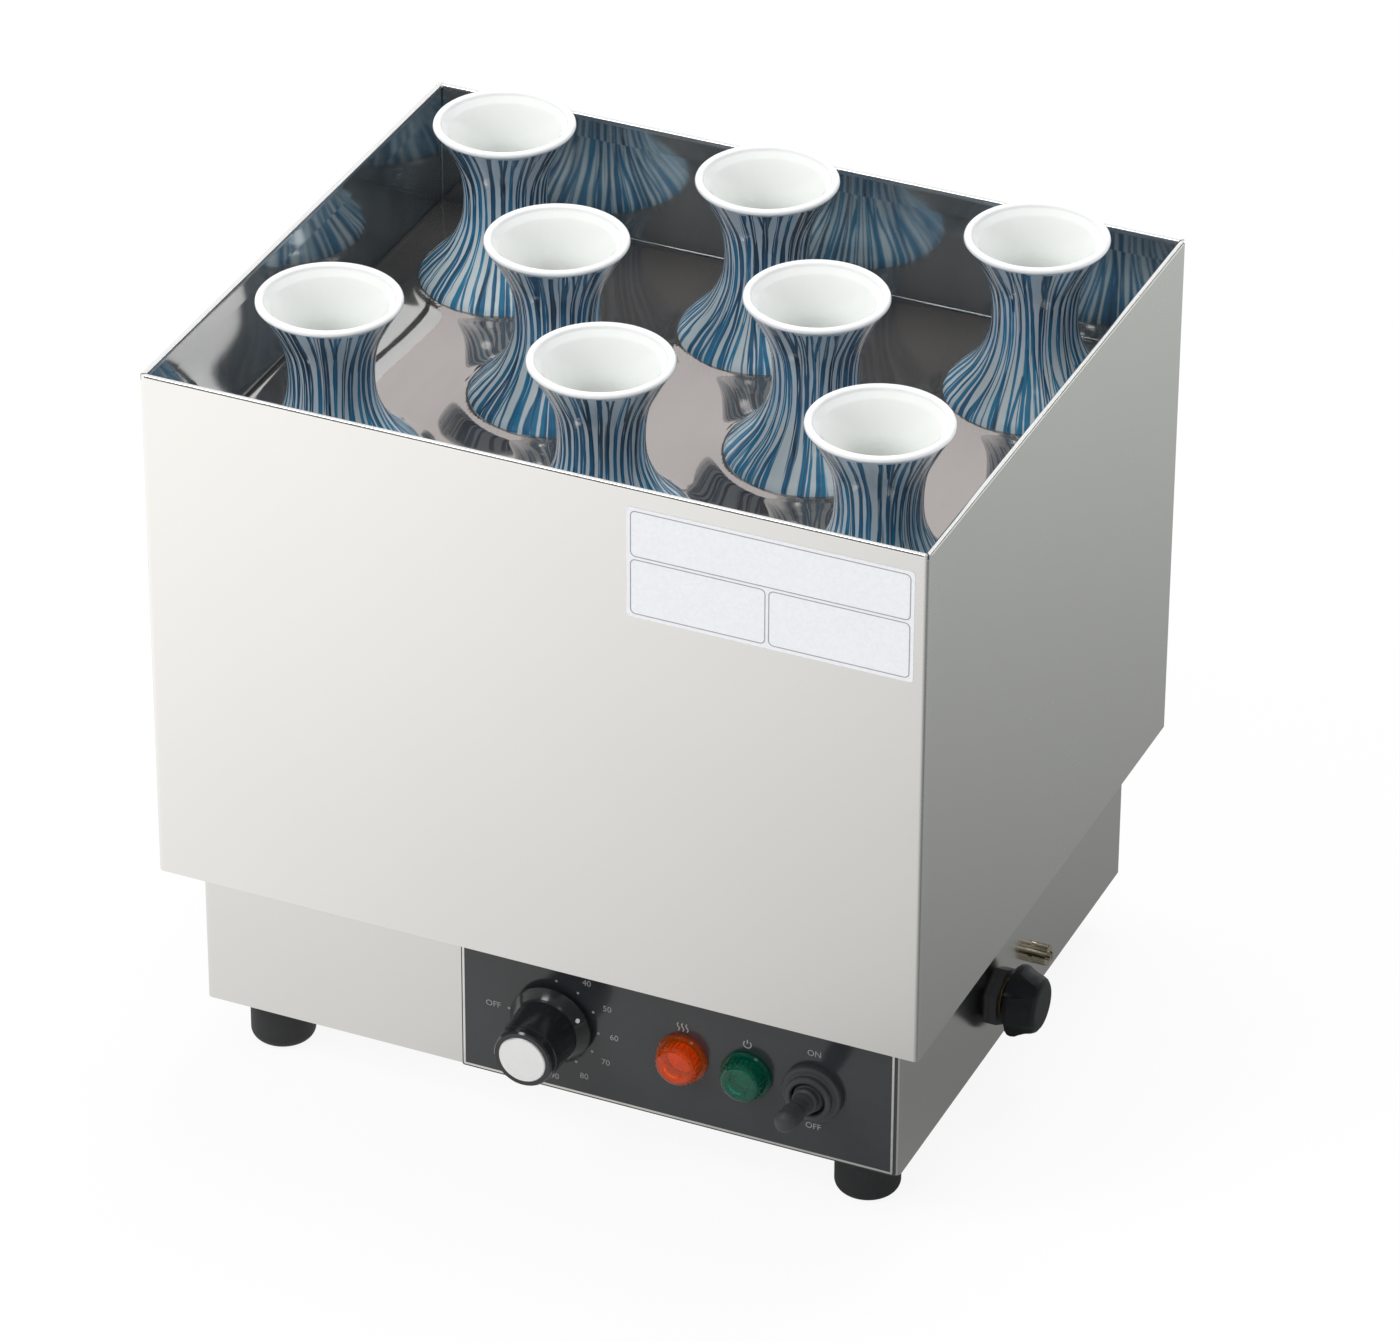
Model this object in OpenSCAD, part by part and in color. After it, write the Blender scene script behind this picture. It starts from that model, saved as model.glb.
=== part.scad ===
// Table-top water-bath flask warmer: an open sheet-metal tank on a narrower base box.
// Millimetres, +Z up. The front faces -Y. The origin lies on the floor, under the middle of the
// whole outline, with the cock handle and the switch lever counted in.

/* [Tank] */
// Outside width of the tank
tank_w = 320; // [290:5:380]
// Outside depth of the tank
tank_d = 260; // [245:5:320]
// Height of the tank from its floor to its rim
tank_h = 222; // [190:2:260]
// Thickness of the sheet of the tank
tank_sheet = 1; // [0.8:0.1:1.5]
// Outside radius of the tank's upright corners
tank_corner_r = 2; // [1.6:0.1:3]
// Thickness of the folded rim
hem_t = 2.4; // [2:0.1:3]
// Height of the folded rim
hem_h = 10; // [6:1:16]
// Width of the cut where two rim folds meet at a corner
mitre_gap = 0.6; // [0.4:0.1:1]

/* [Shelf] */
// Height of the shelf's top above the tank's underside
shelf_z = 56; // [50:1:64]
// Thickness of the shelf's sheet
shelf_sheet = 1.2; // [0.8:0.1:2]
// Gap between the shelf and the folded rim on each side
shelf_gap = 0.6; // [0.4:0.1:2]
// Diameter of the holes in the shelf
shelf_hole_d = 12; // [6:1:16]
// Distance between the holes in the shelf
shelf_pitch = 26; // [20:1:36]

/* [Flasks] */
// Height of a flask
flask_h = 182; // [170:1:200]
// Radius of a flask's mouth
flask_mouth_r = 28.2; // [26:0.2:30]
// Radius of a flask's narrow waist
flask_waist_r = 16.8; // [15:0.2:20]
// Radius of a flask's widest part
flask_body_r = 39.5; // [36:0.5:41]
// Radius of a flask's foot
flask_foot_r = 29; // [25:0.5:33]
// Thickness of a flask's wall
flask_wall = 3.4; // [2.6:0.1:4]
// Gap between the right-hand flasks and the folded rim
flask_gap_x = 1.6; // [0.6:0.1:5]
// Gap between the back flasks and the folded rim
flask_gap_y = 5.6; // [0.6:0.1:8]
// How much closer together the two middle flasks stand than those of the other rows
flask_mid_closer = 4.5; // [0:0.5:12]
// How far right of the tank's middle the group of flasks stands
flask_shift_x = 4; // [0:0.5:5]
// How far behind the tank's middle the group of flasks stands
flask_shift_y = 5; // [-5:0.5:6]

/* [Base] */
// Gap between the tank's side and the base's side
base_inset_x = 12; // [8:1:20]
// Gap between the tank's front and the base's front
base_inset_y = 14; // [8:1:20]
// Height of the base box with its floor plate
base_h = 66; // [64:1:80]
// Thickness of the sheet of the base
base_sheet = 1; // [0.8:0.1:1.5]
// Width of the flanges folded inwards at the base's top and bottom
base_flange = 12; // [10:1:14]
// How far the floor plate stays inside the base's outline
floor_inset = 2; // [1:0.5:3]

/* [Feet] */
// Height of a rubber foot
foot_h = 24; // [20:1:30]
// Diameter of a rubber foot
foot_d = 26; // [22:1:28]
// Distance from a front foot's middle to the base's two nearest sides
foot_inset = 22; // [20:1:30]
// Distance from a back foot's middle to the base's two nearest sides
foot_back_inset = 30; // [22:1:36]

/* [Control panel] */
// Width of the control panel
panel_w = 182.5; // [176:0.5:200]
// Height of the control panel
panel_h = 62; // [56:1:62]
// Thickness of the control panel
panel_t = 1; // [0.8:0.1:1.5]
// Gap between the panel and the base's right edge
panel_gap_x = 1.5; // [1:0.5:6]
// Gap between the panel's lower edge and the base's underside
panel_gap_z = 1; // [0.5:0.5:2]
// Height of the lamps and the switch above the base's underside
control_z = 31; // [28:0.5:34]
// Distance from the panel's left edge to the knob
knob_x = 39.3; // [34:0.1:46]
// How far the knob is above the line of the lamps and the switch
knob_lift = 1.6; // [0:0.1:3]
// Distance from the panel's left edge to the heater lamp
heater_lamp_x = 93.8; // [86:0.1:96]
// Distance from the panel's left edge to the power lamp
power_lamp_x = 120.8; // [118:0.1:123]
// Distance from the panel's left edge to the switch
switch_x = 148.5; // [146:0.1:154]

/* [Thermostat knob] */
// Diameter of the knob's skirt
skirt_d = 34; // [30:0.5:37]
// Diameter of the knob's grip where it leaves the skirt
grip_d = 27; // [22:0.5:28]
// Diameter of the knob's grip at its front
grip_front_d = 25; // [21:0.5:26]
// Length of the knob from the panel to its front
knob_l = 28.8; // [20:0.1:30]
// Diameter of the bright cap in the knob's front
knob_cap_d = 19.6; // [14:0.1:20.5]
// Diameter of the thermostat's shaft
shaft_d = 6; // [5:0.5:8]
// Direction that the marker points in, turned left from straight right, seen from the front
marker_angle = 30; // [-89:1:178]

/* [Pilot lamps] */
// Diameter of a lamp's flange
lamp_flange_d = 21; // [18:0.5:22]
// Diameter of a lamp's lens
lamp_lens_d = 17.2; // [14:0.2:17.6]
// How far a lamp's lens stands off the panel
lamp_l = 8.4; // [6:0.2:12]
// Diameter of a lamp's body behind the lens
lamp_body_d = 12; // [10:0.5:13]

/* [Toggle switch] */
// Diameter of the rubber seal round the switch
seal_d = 24.6; // [22:0.2:26]
// Distance from the panel to the lever's pivot
lever_pivot_y = 2.6; // [2:0.1:4]
// Distance from the lever's pivot to the middle of its tip
lever_l = 24.6; // [18:0.2:28]
// Diameter of the lever's round tip
lever_tip_d = 8.8; // [7:0.2:10]
// Angle of the lever above the level when it is switched on
lever_tilt = 8; // [6:0.5:15]

/* [Drain cock] */
// Distance from the base's middle line to the cock, towards the front
cock_y = 14.5; // [5:0.5:20]
// Height of the cock's stem above the base's underside
cock_z = 21; // [18:0.5:26]
// Distance from the base's right side back to the cock's pipe
cock_depth = 25; // [24:0.5:30]
// Diameter of the cock's lobed handle
handle_d = 29; // [24:0.5:34]
// How far the cock's handle stands off the base's side
handle_l = 18; // [15:0.5:22]
// Outside diameter of the drain pipe
drain_d = 14; // [12:0.5:14]
// Bore of the drain pipe
drain_bore = 10; // [8:0.5:10]
// Height of the drain spout's end above the floor
spout_z = 10; // [8:0.5:14]

/* [Earth terminal and cord bushing] */
// Distance from the base's middle line to the earth terminal, towards the back
earth_y = 21; // [12:0.5:50]
// Height of the earth terminal above the base's underside
earth_z = 19.7; // [16:0.1:30]
// Diameter of the earth terminal's knurled nut
earth_d = 9; // [8:0.5:10]
// Distance from the base's left end to the cord bushing
bushing_gap = 52; // [40:1:88]
// Bore of the cord bushing
bushing_bore = 7.5; // [6:0.5:9]

/* [Heater and sensor] */
// Diameter of the heater's tube
heater_d = 8; // [7:0.5:10]
// Height of the heater's loops above the tank's floor
heater_z = 28; // [24:1:30]
// Distance from the tank's left side to the heater's upright legs
heater_gap_left = 55; // [50:1:65]
// Distance from the tank's right side to the far ends of the heater's straight runs
heater_gap_right = 61; // [50:1:80]
// Distance between the heater's straight runs
heater_pitch = 36; // [32:1:40]
// Diameter of the thermostat's sensing bulb
bulb_d = 6; // [5:0.5:8]
// Length of the thermostat's sensing bulb
bulb_l = 90; // [60:5:100]
// Diameter of the tube between the bulb and the thermostat
capillary_d = 2; // [1.6:0.2:2.4]

/* [Hidden] */
$fn = 64;

// Running and assembly clearances
fit = 0.05;
hole_gap = 0.25;
eps = 0.01;

// Heights above the floor
base_z = foot_h;
tank_z = base_z + base_h;
rim_z = tank_z + tank_h;
tank_floor_z = tank_z + tank_sheet;
shelf_top_z = tank_z + shelf_z;
control_height = base_z + control_z;
cock_height = base_z + cock_z;
earth_height = base_z + earth_z;

// Outlines
base_w = tank_w - 2 * base_inset_x;
base_d = tank_d - 2 * base_inset_y;
front_y = -base_d / 2;
side_x = base_w / 2;
panel_front_y = front_y - panel_t;
panel_left_x = side_x - panel_gap_x - panel_w;

// How far the moving parts reach past the tank, and the shift that centres the whole outline
lever_reach = base_d / 2 + panel_t + lever_pivot_y + lever_l * cos(lever_tilt) + lever_tip_d / 2;
reach_right = max(side_x + handle_l, tank_w / 2);
reach_front = max(lever_reach, tank_d / 2);
shift_x = (reach_right - tank_w / 2) / 2;
shift_y = (reach_front - tank_d / 2) / 2;

// Metals, plastics and glazes
steel = "#d2d2ce";
dark_steel = "#8d8f8d";
nickel = "#c9c4b0";
brass = "#b59a55";
black = "#1b1c1e";
rubber = "#2b2c2e";
panel_grey = "#46484b";
glaze = "#3d5f8c";

module place() {
    translate([-shift_x, shift_y, 0]) children();
}

// ---- shapes that repeat ----

// Rectangle with round corners, centred
module rounded_rect(w, d, r) {
    square([w - 2 * r, d], center = true);
    square([w, d - 2 * r], center = true);
    for (x = [-1, 1], y = [-1, 1])
        translate([x * (w / 2 - r), y * (d / 2 - r)]) circle(r);
}

// Plate with round corners, standing on z = 0
module plate(w, d, h, r) {
    linear_extrude(h) rounded_rect(w, d, r);
}

// Slot through a plate, centred, standing on z = 0
module slot(w, d, h) {
    translate([0, 0, h / 2]) cube([w - d, d, h], center = true);
    for (x = [-1, 1])
        translate([x * (w - d) / 2, 0, 0]) cylinder(d = d, h = h);
}

// Ring standing on z = 0
module ring(r_out, r_in, h) {
    difference() {
        cylinder(r = r_out, h = h);
        translate([0, 0, -1]) cylinder(r = r_in, h = h + 2);
    }
}

// Hexagon nut or flange, standing on z = 0, with a round bore where r_in is over 0
module hex_part(across, r_in, h) {
    difference() {
        cylinder(d = across / cos(30), h = h, $fn = 6);
        if (r_in > 0)
            translate([0, 0, -1]) cylinder(r = r_in, h = h + 2);
    }
}

// Screw with a low round head and a cross slot: the head's seat is z = 0, the shank points up
module pan_screw(shank_d, length, head_d, head_h) {
    slot_w = head_d * 0.14;
    slot_l = head_d * 0.55;
    cylinder(d = shank_d, h = length);
    difference() {
        translate([0, 0, -head_h])
            rotate_extrude() polygon([
                [0, 0], [head_d * 0.36, 0], [head_d * 0.46, head_h * 0.3],
                [head_d / 2, head_h * 0.7], [head_d / 2, head_h], [0, head_h]
            ]);
        for (a = [0, 90])
            rotate(a) translate([-slot_l / 2, -slot_w / 2, -head_h - 1])
                cube([slot_l, slot_w, 1 + head_h * 0.5]);
    }
}

// Turns what is drawn along +Z to point out of the front, the right side or the back
module facing_front() {
    rotate([90, 0, 0]) children();
}
module facing_right() {
    rotate([0, 90, 0]) children();
}
module facing_back() {
    rotate([-90, 0, 0]) children();
}

function unit(v) = v / norm(v);
function frame_of(x, z, at) = let (y = cross(z, x)) [
    [x[0], y[0], z[0], at[0]], [x[1], y[1], z[1], at[1]], [x[2], y[2], z[2], at[2]], [0, 0, 0, 1]
];
function side_of(v) = unit(cross(v, abs(v[2]) < 0.9 ? [0, 0, 1] : [1, 0, 0]));

// Tube that follows a path of points, with one round bend at each inner point
module tube_run(path, r, bends) {
    last = len(path) - 1;
    dirs = [for (i = [0 : last - 1]) unit(path[i + 1] - path[i])];
    turns = [for (i = [1 : last - 1]) acos(dirs[i - 1] * dirs[i])];
    cuts = [0, for (i = [0 : last - 2]) bends[i] * tan(turns[i] / 2), 0];
    for (i = [0 : last - 1])
        multmatrix(frame_of(side_of(dirs[i]), dirs[i], path[i] + dirs[i] * cuts[i]))
            cylinder(r = r, h = norm(path[i + 1] - path[i]) - cuts[i] - cuts[i + 1]);
    for (i = [1 : last - 1]) {
        axis = unit(cross(dirs[i - 1], dirs[i]));
        start = path[i] - dirs[i - 1] * cuts[i];
        out = unit(cross(dirs[i - 1], axis));
        multmatrix(frame_of(out, axis, start - out * bends[i - 1]))
            rotate_extrude(angle = turns[i - 1]) translate([bends[i - 1], 0]) circle(r);
    }
}

// ---- tank ----

heater_x = heater_gap_left - tank_w / 2;
heater_right = tank_w / 2 - heater_gap_right;
heater_rows = [for (i = [0 : 3]) (i - 1.5) * heater_pitch];
heater_bend = heater_pitch / 2 - eps;
heater_leg_bend = 14;
heater_height = tank_floor_z + heater_z;
heater_bottom = tank_z - 16;
fitting_d = 14;
fitting_l = 12;
drain_x = side_x - cock_depth;
bulb_height = tank_floor_z + 10;
capillary_bend = 5.5;
gland_x = -bulb_l / 2 - 14;
gland_d = 8;
stud_d = 4;
stud_l = 10;
stud_at = [for (x = [-1, 0, 1], y = [-1, 1])
    [x * (side_x - 28), y * (base_d / 2 - base_sheet - base_flange / 2)]];

// One rim fold, as long as the side it belongs to: its top is a half round
module hem(length) {
    rotate([90, 0, 0]) linear_extrude(length, center = true) {
        translate([0, -hem_h]) square([hem_t, hem_h - hem_t / 2]);
        translate([hem_t / 2, -hem_t / 2]) circle(d = hem_t);
    }
}

module tank_walls() {
    wall_top = rim_z - hem_t / 2;
    translate([0, 0, tank_z]) difference() {
        plate(tank_w, tank_d, wall_top - tank_z, tank_corner_r);
        translate([0, 0, tank_sheet])
            plate(tank_w - 2 * tank_sheet, tank_d - 2 * tank_sheet, tank_h,
                tank_corner_r - tank_sheet);
    }
}

module tank_rim() {
    intersection() {
        union() {
            for (side = [0, 180]) {
                rotate(side) translate([-tank_w / 2, 0, rim_z]) hem(tank_d);
                rotate(side + 90) translate([-tank_d / 2, 0, rim_z]) hem(tank_w);
            }
        }
        translate([0, 0, rim_z - hem_h - 1]) plate(tank_w, tank_d, hem_h + 2, tank_corner_r);
    }
}

module mitre_cuts() {
    reach = 2 * hem_t;
    for (x = [-1, 1], y = [-1, 1])
        translate([x * tank_w / 2, y * tank_d / 2, 0])
            rotate(atan2(-y, -x)) {
                translate([tank_sheet * sqrt(2), -mitre_gap / 2, rim_z - hem_h - 1])
                    cube([reach, mitre_gap, hem_h + 2]);
                translate([-1, -mitre_gap / 2, rim_z - hem_t])
                    cube([reach, mitre_gap, hem_t + 1]);
            }
}

module tank() color(steel) place() {
    difference() {
        union() {
            tank_walls();
            tank_rim();
        }
        mitre_cuts();
        for (y = [heater_rows[0], heater_rows[3]])
            translate([heater_x, y, tank_z - 1]) cylinder(d = fitting_d + 2 * hole_gap, h = 3);
        translate([gland_x, 0, tank_z - 1]) cylinder(d = gland_d + 2 * hole_gap, h = 3);
        translate([drain_x, -cock_y, tank_z - 1]) cylinder(d = drain_d + 2 * fit, h = 3);
    }
}

// Welded under the tank's floor, through the base's upper flange
module tank_studs() color(steel) place() {
    for (at = stud_at)
        translate([at[0], at[1], tank_z - stud_l]) cylinder(d = stud_d, h = stud_l);
}

module tank_nuts() color(dark_steel) place() {
    nut_h = 3.2;
    for (at = stud_at)
        translate([at[0], at[1], tank_z - base_sheet - nut_h])
            hex_part(7, stud_d / 2 + fit, nut_h);
}

// ---- shelf ----

shelf_w = tank_w - 2 * (hem_t + shelf_gap);
shelf_d = tank_d - 2 * (hem_t + shelf_gap);

// Perforated plate that the flasks stand on
module shelf() color(steel) place() {
    nx = floor((shelf_w / 2 - shelf_hole_d) / shelf_pitch);
    ny = floor((shelf_d / 2 - shelf_hole_d) / shelf_pitch);
    difference() {
        translate([-shelf_w / 2, -shelf_d / 2, shelf_top_z - shelf_sheet])
            cube([shelf_w, shelf_d, shelf_sheet]);
        for (i = [-nx : nx], j = [-ny : ny])
            translate([i * shelf_pitch, j * shelf_pitch, shelf_top_z - shelf_sheet - 1])
                cylinder(d = shelf_hole_d, h = shelf_sheet + 2, $fn = 32);
    }
}

// Legs at the plate's two ends, each with arches for the water and a ledge under the plate
module shelf_legs() color(steel) place() {
    leg_h = shelf_top_z - shelf_sheet - tank_floor_z;
    ledge = 10;
    arch_w = 30;
    arch_pitch = 48;
    arches = floor(shelf_d / arch_pitch);
    for (side = [-1, 1])
        difference() {
            union() {
                translate([side * (shelf_w / 2 - shelf_sheet / 2) - shelf_sheet / 2, -shelf_d / 2,
                    tank_floor_z]) cube([shelf_sheet, shelf_d, leg_h]);
                translate([side * (shelf_w / 2 - ledge / 2) - ledge / 2, -shelf_d / 2,
                    tank_floor_z + leg_h - shelf_sheet]) cube([ledge, shelf_d, shelf_sheet]);
            }
            for (i = [0 : arches - 1])
                translate([
                    side * shelf_w / 2 - 2 * shelf_sheet,
                    (i - (arches - 1) / 2) * arch_pitch - arch_w / 2,
                    tank_floor_z - 1
                ]) cube([4 * shelf_sheet, arch_w, 1 + leg_h / 2]);
        }
}

// ---- heater ----

fitting_head_h = 5;
gasket_h = 1.5;
gasket_rim = 3;
heater_inner_x = heater_x + heater_leg_bend + heater_bend;
heater_path = [
    [heater_x, heater_rows[0], heater_bottom],
    [heater_x, heater_rows[0], heater_height],
    [heater_right, heater_rows[0], heater_height],
    [heater_right, heater_rows[1], heater_height],
    [heater_inner_x, heater_rows[1], heater_height],
    [heater_inner_x, heater_rows[2], heater_height],
    [heater_right, heater_rows[2], heater_height],
    [heater_right, heater_rows[3], heater_height],
    [heater_x, heater_rows[3], heater_height],
    [heater_x, heater_rows[3], heater_bottom]
];
heater_bends = concat([heater_leg_bend], [for (i = [1 : 6]) heater_bend], [heater_leg_bend]);

// One unbroken tube with a fitting on each leg, and an insulator and a terminal pin below it
module heater() color(dark_steel) place() {
    insulator_h = 6;
    pin_r = 2;
    pin_l = 8;
    tube_run(heater_path, heater_d / 2, heater_bends);
    for (y = [heater_rows[0], heater_rows[3]])
        translate([heater_x, y, 0]) {
            translate([0, 0, tank_floor_z + gasket_h])
                hex_part(19, heater_d / 2 - eps, fitting_head_h);
            translate([0, 0, tank_z - fitting_l])
                ring(fitting_d / 2, heater_d / 2 - eps, fitting_l + tank_sheet + gasket_h);
            translate([0, 0, heater_bottom - insulator_h]) cylinder(d = heater_d + 1, h = insulator_h);
            translate([0, 0, heater_bottom - insulator_h - pin_l]) cylinder(r = pin_r, h = pin_l);
        }
}

module heater_gaskets() color(rubber) place() {
    for (y = [heater_rows[0], heater_rows[3]])
        translate([heater_x, y, tank_floor_z])
            ring(fitting_d / 2 + gasket_rim, fitting_d / 2 + hole_gap, gasket_h);
}

module heater_nuts() color(nickel) place() {
    nut_h = 5;
    for (y = [heater_rows[0], heater_rows[3]])
        translate([heater_x, y, tank_z - nut_h]) hex_part(19, fitting_d / 2 + fit, nut_h);
}

// Two combs that stand on the tank's floor and carry the heater's runs in round notches
module heater_supports() color(steel) place() {
    strip = 1.2;
    foot_w = 10;
    half = heater_rows[3] + heater_pitch / 3;
    bend_gap = 6;
    for (x = [heater_inner_x + heater_bend + bend_gap, heater_right - heater_bend - bend_gap]) {
        translate([x, 0, tank_floor_z]) rotate([90, 0, 90]) linear_extrude(strip)
            difference() {
                translate([-half, 0]) square([2 * half, heater_z]);
                for (y = heater_rows) {
                    translate([y, heater_z]) circle(d = heater_d + 2 * fit);
                }
                translate([-heater_pitch / 3, -1]) square([heater_pitch / 1.5, heater_z * 0.65]);
            }
        for (y = [-1, 1])
            translate([x, y * (half - foot_w) - foot_w, tank_floor_z]) cube([foot_w, 2 * foot_w, strip]);
    }
}

// ---- sensor ----

thermostat_x = panel_left_x + knob_x;
thermostat_w = 34;
thermostat_depth = 30;
thermostat_h = 28;
capillary_rise = 8;
capillary_z = control_height + knob_lift + capillary_rise;

module sensing_bulb() color(brass) place() {
    left = -bulb_l / 2;
    translate([left, 0, bulb_height]) facing_right() cylinder(d = bulb_d, h = bulb_l);
    for (x = [left, left + bulb_l])
        translate([x, 0, bulb_height]) sphere(d = bulb_d);
    tube_run([
        [left, 0, bulb_height],
        [gland_x, 0, bulb_height],
        [gland_x, 0, capillary_z],
        [thermostat_x, 0, capillary_z],
        [thermostat_x, front_y + base_sheet + thermostat_depth, capillary_z]
    ], capillary_d / 2, [for (i = [1 : 3]) capillary_bend]);
}

module bulb_clip() color(steel) place() {
    strip = 1;
    for (x = [-bulb_l / 4, bulb_l / 4])
        translate([x, 0, tank_floor_z]) rotate([90, 0, 90]) linear_extrude(8, center = true) {
            translate([-bulb_d, 0]) square([2 * bulb_d, strip]);
            difference() {
                union() {
                    translate([0, bulb_height - tank_floor_z]) circle(d = bulb_d + 2 * (fit + strip));
                    translate([-strip, 0]) square([2 * strip, bulb_height - tank_floor_z]);
                }
                translate([0, bulb_height - tank_floor_z]) circle(d = bulb_d + 2 * fit);
            }
        }
}

module capillary_gland() color(brass) place() {
    bore = capillary_d / 2 + fit;
    translate([gland_x, 0, tank_floor_z]) hex_part(12, bore, 4);
    translate([gland_x, 0, tank_z - 9]) ring(gland_d / 2, bore, 9 + tank_sheet);
    translate([gland_x, 0, tank_z - 4]) hex_part(12, gland_d / 2 - eps, 4);
}

// ---- base ----

vent_w = 40;
vent_h = 5;
floor_screw_d = 3.5;
floor_screw_at = concat(
    [for (x = [-1, 1], y = [-1, 1])
        [x * (side_x - base_sheet - base_flange / 2), y * (base_d / 4)]],
    [for (x = [-1, 1], y = [-1, 1])
        [x * (side_x / 2), y * (base_d / 2 - base_sheet - base_flange / 2)]]
);
// Place of the foot at one corner: x is -1 on the left and 1 on the right, y -1 in front
function foot_at(x, y) =
    let (inset = y < 0 ? foot_inset : foot_back_inset)
    [x * (side_x - inset), y * (base_d / 2 - inset), 0];

foot_screw_d = 5;
bushing_neck_d = 15;
bushing_x = bushing_gap - side_x;
bushing_height = base_z + base_h * 0.3;
cock_boss_d = 16;
switch_bushing_d = 12;
thermostat_boss_d = 10;

// Puts what is drawn along +Z on the panel's front face, at a distance from the panel's left edge
module on_panel(x, up = 0) {
    translate([panel_left_x + x, panel_front_y, control_height + up]) facing_front() children();
}

module at_knob(x = 0) {
    on_panel(knob_x + x, knob_lift) children();
}

// Clearance hole that runs from just above the face to just below the given depth
module through_hole(d, depth) {
    translate([0, 0, -depth - 1]) cylinder(d = d + 2 * hole_gap, h = depth + 2);
}

// Holes for the controls, through the panel and the base's front
module control_holes() {
    rear = panel_t + base_sheet;
    at_knob() through_hole(thermostat_boss_d, rear);
    for (side = [-1, 1])
        at_knob(side * thermostat_screw_dx) through_hole(thermostat_screw_d, rear);
    for (x = [heater_lamp_x, power_lamp_x])
        on_panel(x) through_hole(lamp_body_d, rear);
    on_panel(switch_x) through_hole(switch_bushing_d, rear);
}

// Four walls with flanges turned inwards along their top and underside edges
module base_shell() {
    wall_z = base_z + base_sheet;
    wall_h = base_h - base_sheet;
    difference() {
        translate([0, 0, wall_z]) plate(base_w, base_d, wall_h, tank_corner_r);
        translate([0, 0, wall_z + base_sheet])
            plate(base_w - 2 * base_sheet, base_d - 2 * base_sheet, wall_h - 2 * base_sheet,
                tank_corner_r - base_sheet);
        translate([0, 0, wall_z - 1])
            plate(base_w - 2 * (base_sheet + base_flange), base_d - 2 * (base_sheet + base_flange),
                wall_h + 2, tank_corner_r);
        control_holes();
        for (at = stud_at)
            translate([at[0], at[1], tank_z - 2 * base_sheet])
                cylinder(d = stud_d + 2 * hole_gap, h = 3 * base_sheet);
        for (at = floor_screw_at)
            translate([at[0], at[1], base_z]) cylinder(d = floor_screw_d + 2 * fit, h = 3 * base_sheet);
        translate([side_x - 2 * base_sheet, -cock_y, cock_height])
            facing_right() cylinder(d = cock_boss_d + 2 * hole_gap, h = 4 * base_sheet);
        translate([side_x - 2 * base_sheet, earth_y, earth_height])
            facing_right() cylinder(d = stud_d + 2 * hole_gap, h = 4 * base_sheet);
        translate([bushing_x, base_d / 2 - 2 * base_sheet, bushing_height])
            facing_back() cylinder(d = bushing_neck_d + 2 * hole_gap, h = 4 * base_sheet);
    }
}

// The part of the shell on one side, cut free along the mitres at its two corners.
// half is half the side's length, reach the distance from the middle to the side
module base_wall(turn, half, reach) {
    out = 1;
    depth = base_flange + 2 * base_sheet;
    intersection() {
        base_shell();
        rotate(turn) translate([0, 0, base_z]) linear_extrude(base_h + 2) polygon([
            [-half - out + fit, -reach - out], [half + out - fit, -reach - out],
            [half - depth - fit, -reach + depth], [-half + depth + fit, -reach + depth]
        ]);
    }
}

module base_front() color(steel) place() base_wall(0, side_x, base_d / 2);
module base_back() color(steel) place() base_wall(180, side_x, base_d / 2);
module base_left() color(steel) place() base_wall(-90, base_d / 2, side_x);
module base_right() color(steel) place() base_wall(90, base_d / 2, side_x);

module base_floor() color(steel) place() {
    slot_rows = 5;
    slot_pitch = 16;
    difference() {
        translate([0, 0, base_z])
            plate(base_w - 2 * floor_inset, base_d - 2 * floor_inset, base_sheet, tank_corner_r);
        for (x = [-1, 1], i = [0 : slot_rows - 1])
            translate([x * base_w / 5, (i - (slot_rows - 1) / 2) * slot_pitch, base_z - 1])
                slot(vent_w, vent_h, base_sheet + 2);
        for (x = [-1, 1], y = [-1, 1])
            translate(foot_at(x, y) + [0, 0, base_z - 1])
                cylinder(d = foot_screw_d + 2 * hole_gap, h = base_sheet + 2);
        for (at = floor_screw_at)
            translate([at[0], at[1], base_z - 1])
                cylinder(d = floor_screw_d + 2 * hole_gap, h = base_sheet + 2);
        translate([drain_x, -cock_y, base_z - 1]) cylinder(d = drain_d + 2, h = base_sheet + 2);
    }
}

module floor_screws() color(dark_steel) place() {
    for (at = floor_screw_at)
        translate([at[0], at[1], base_z]) pan_screw(floor_screw_d, 6, 7, 2.2);
}

// ---- feet ----

foot_recess_d = 13;
foot_recess_h = 13;
foot_round = 4;

// Rubber foot with a rounded lower edge and a recess for its screw
module rubber_foot(x, y) {
    r = foot_d / 2;
    translate(foot_at(x, y))
        rotate_extrude() difference() {
            union() {
                translate([0, foot_round]) square([r, foot_h - foot_round]);
                square([r - foot_round, foot_h]);
                translate([r - foot_round, foot_round]) circle(foot_round);
            }
            translate([-r, -1]) square([r, foot_h + 2]);
            translate([-1, -1]) square([1 + foot_recess_d / 2, 1 + foot_recess_h]);
            translate([-1, -1]) square([1 + foot_screw_d / 2 + fit, foot_h + 2]);
        }
}
module foot_front_left() color(rubber) place() rubber_foot(-1, -1);
module foot_front_right() color(rubber) place() rubber_foot(1, -1);
module foot_back_left() color(rubber) place() rubber_foot(-1, 1);
module foot_back_right() color(rubber) place() rubber_foot(1, 1);

module foot_screws() color(dark_steel) place() {
    for (x = [-1, 1], y = [-1, 1])
        translate(foot_at(x, y) + [0, 0, foot_recess_h])
            pan_screw(foot_screw_d, foot_h - foot_recess_h + base_sheet + 6, 10, 3.4);
}

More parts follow.
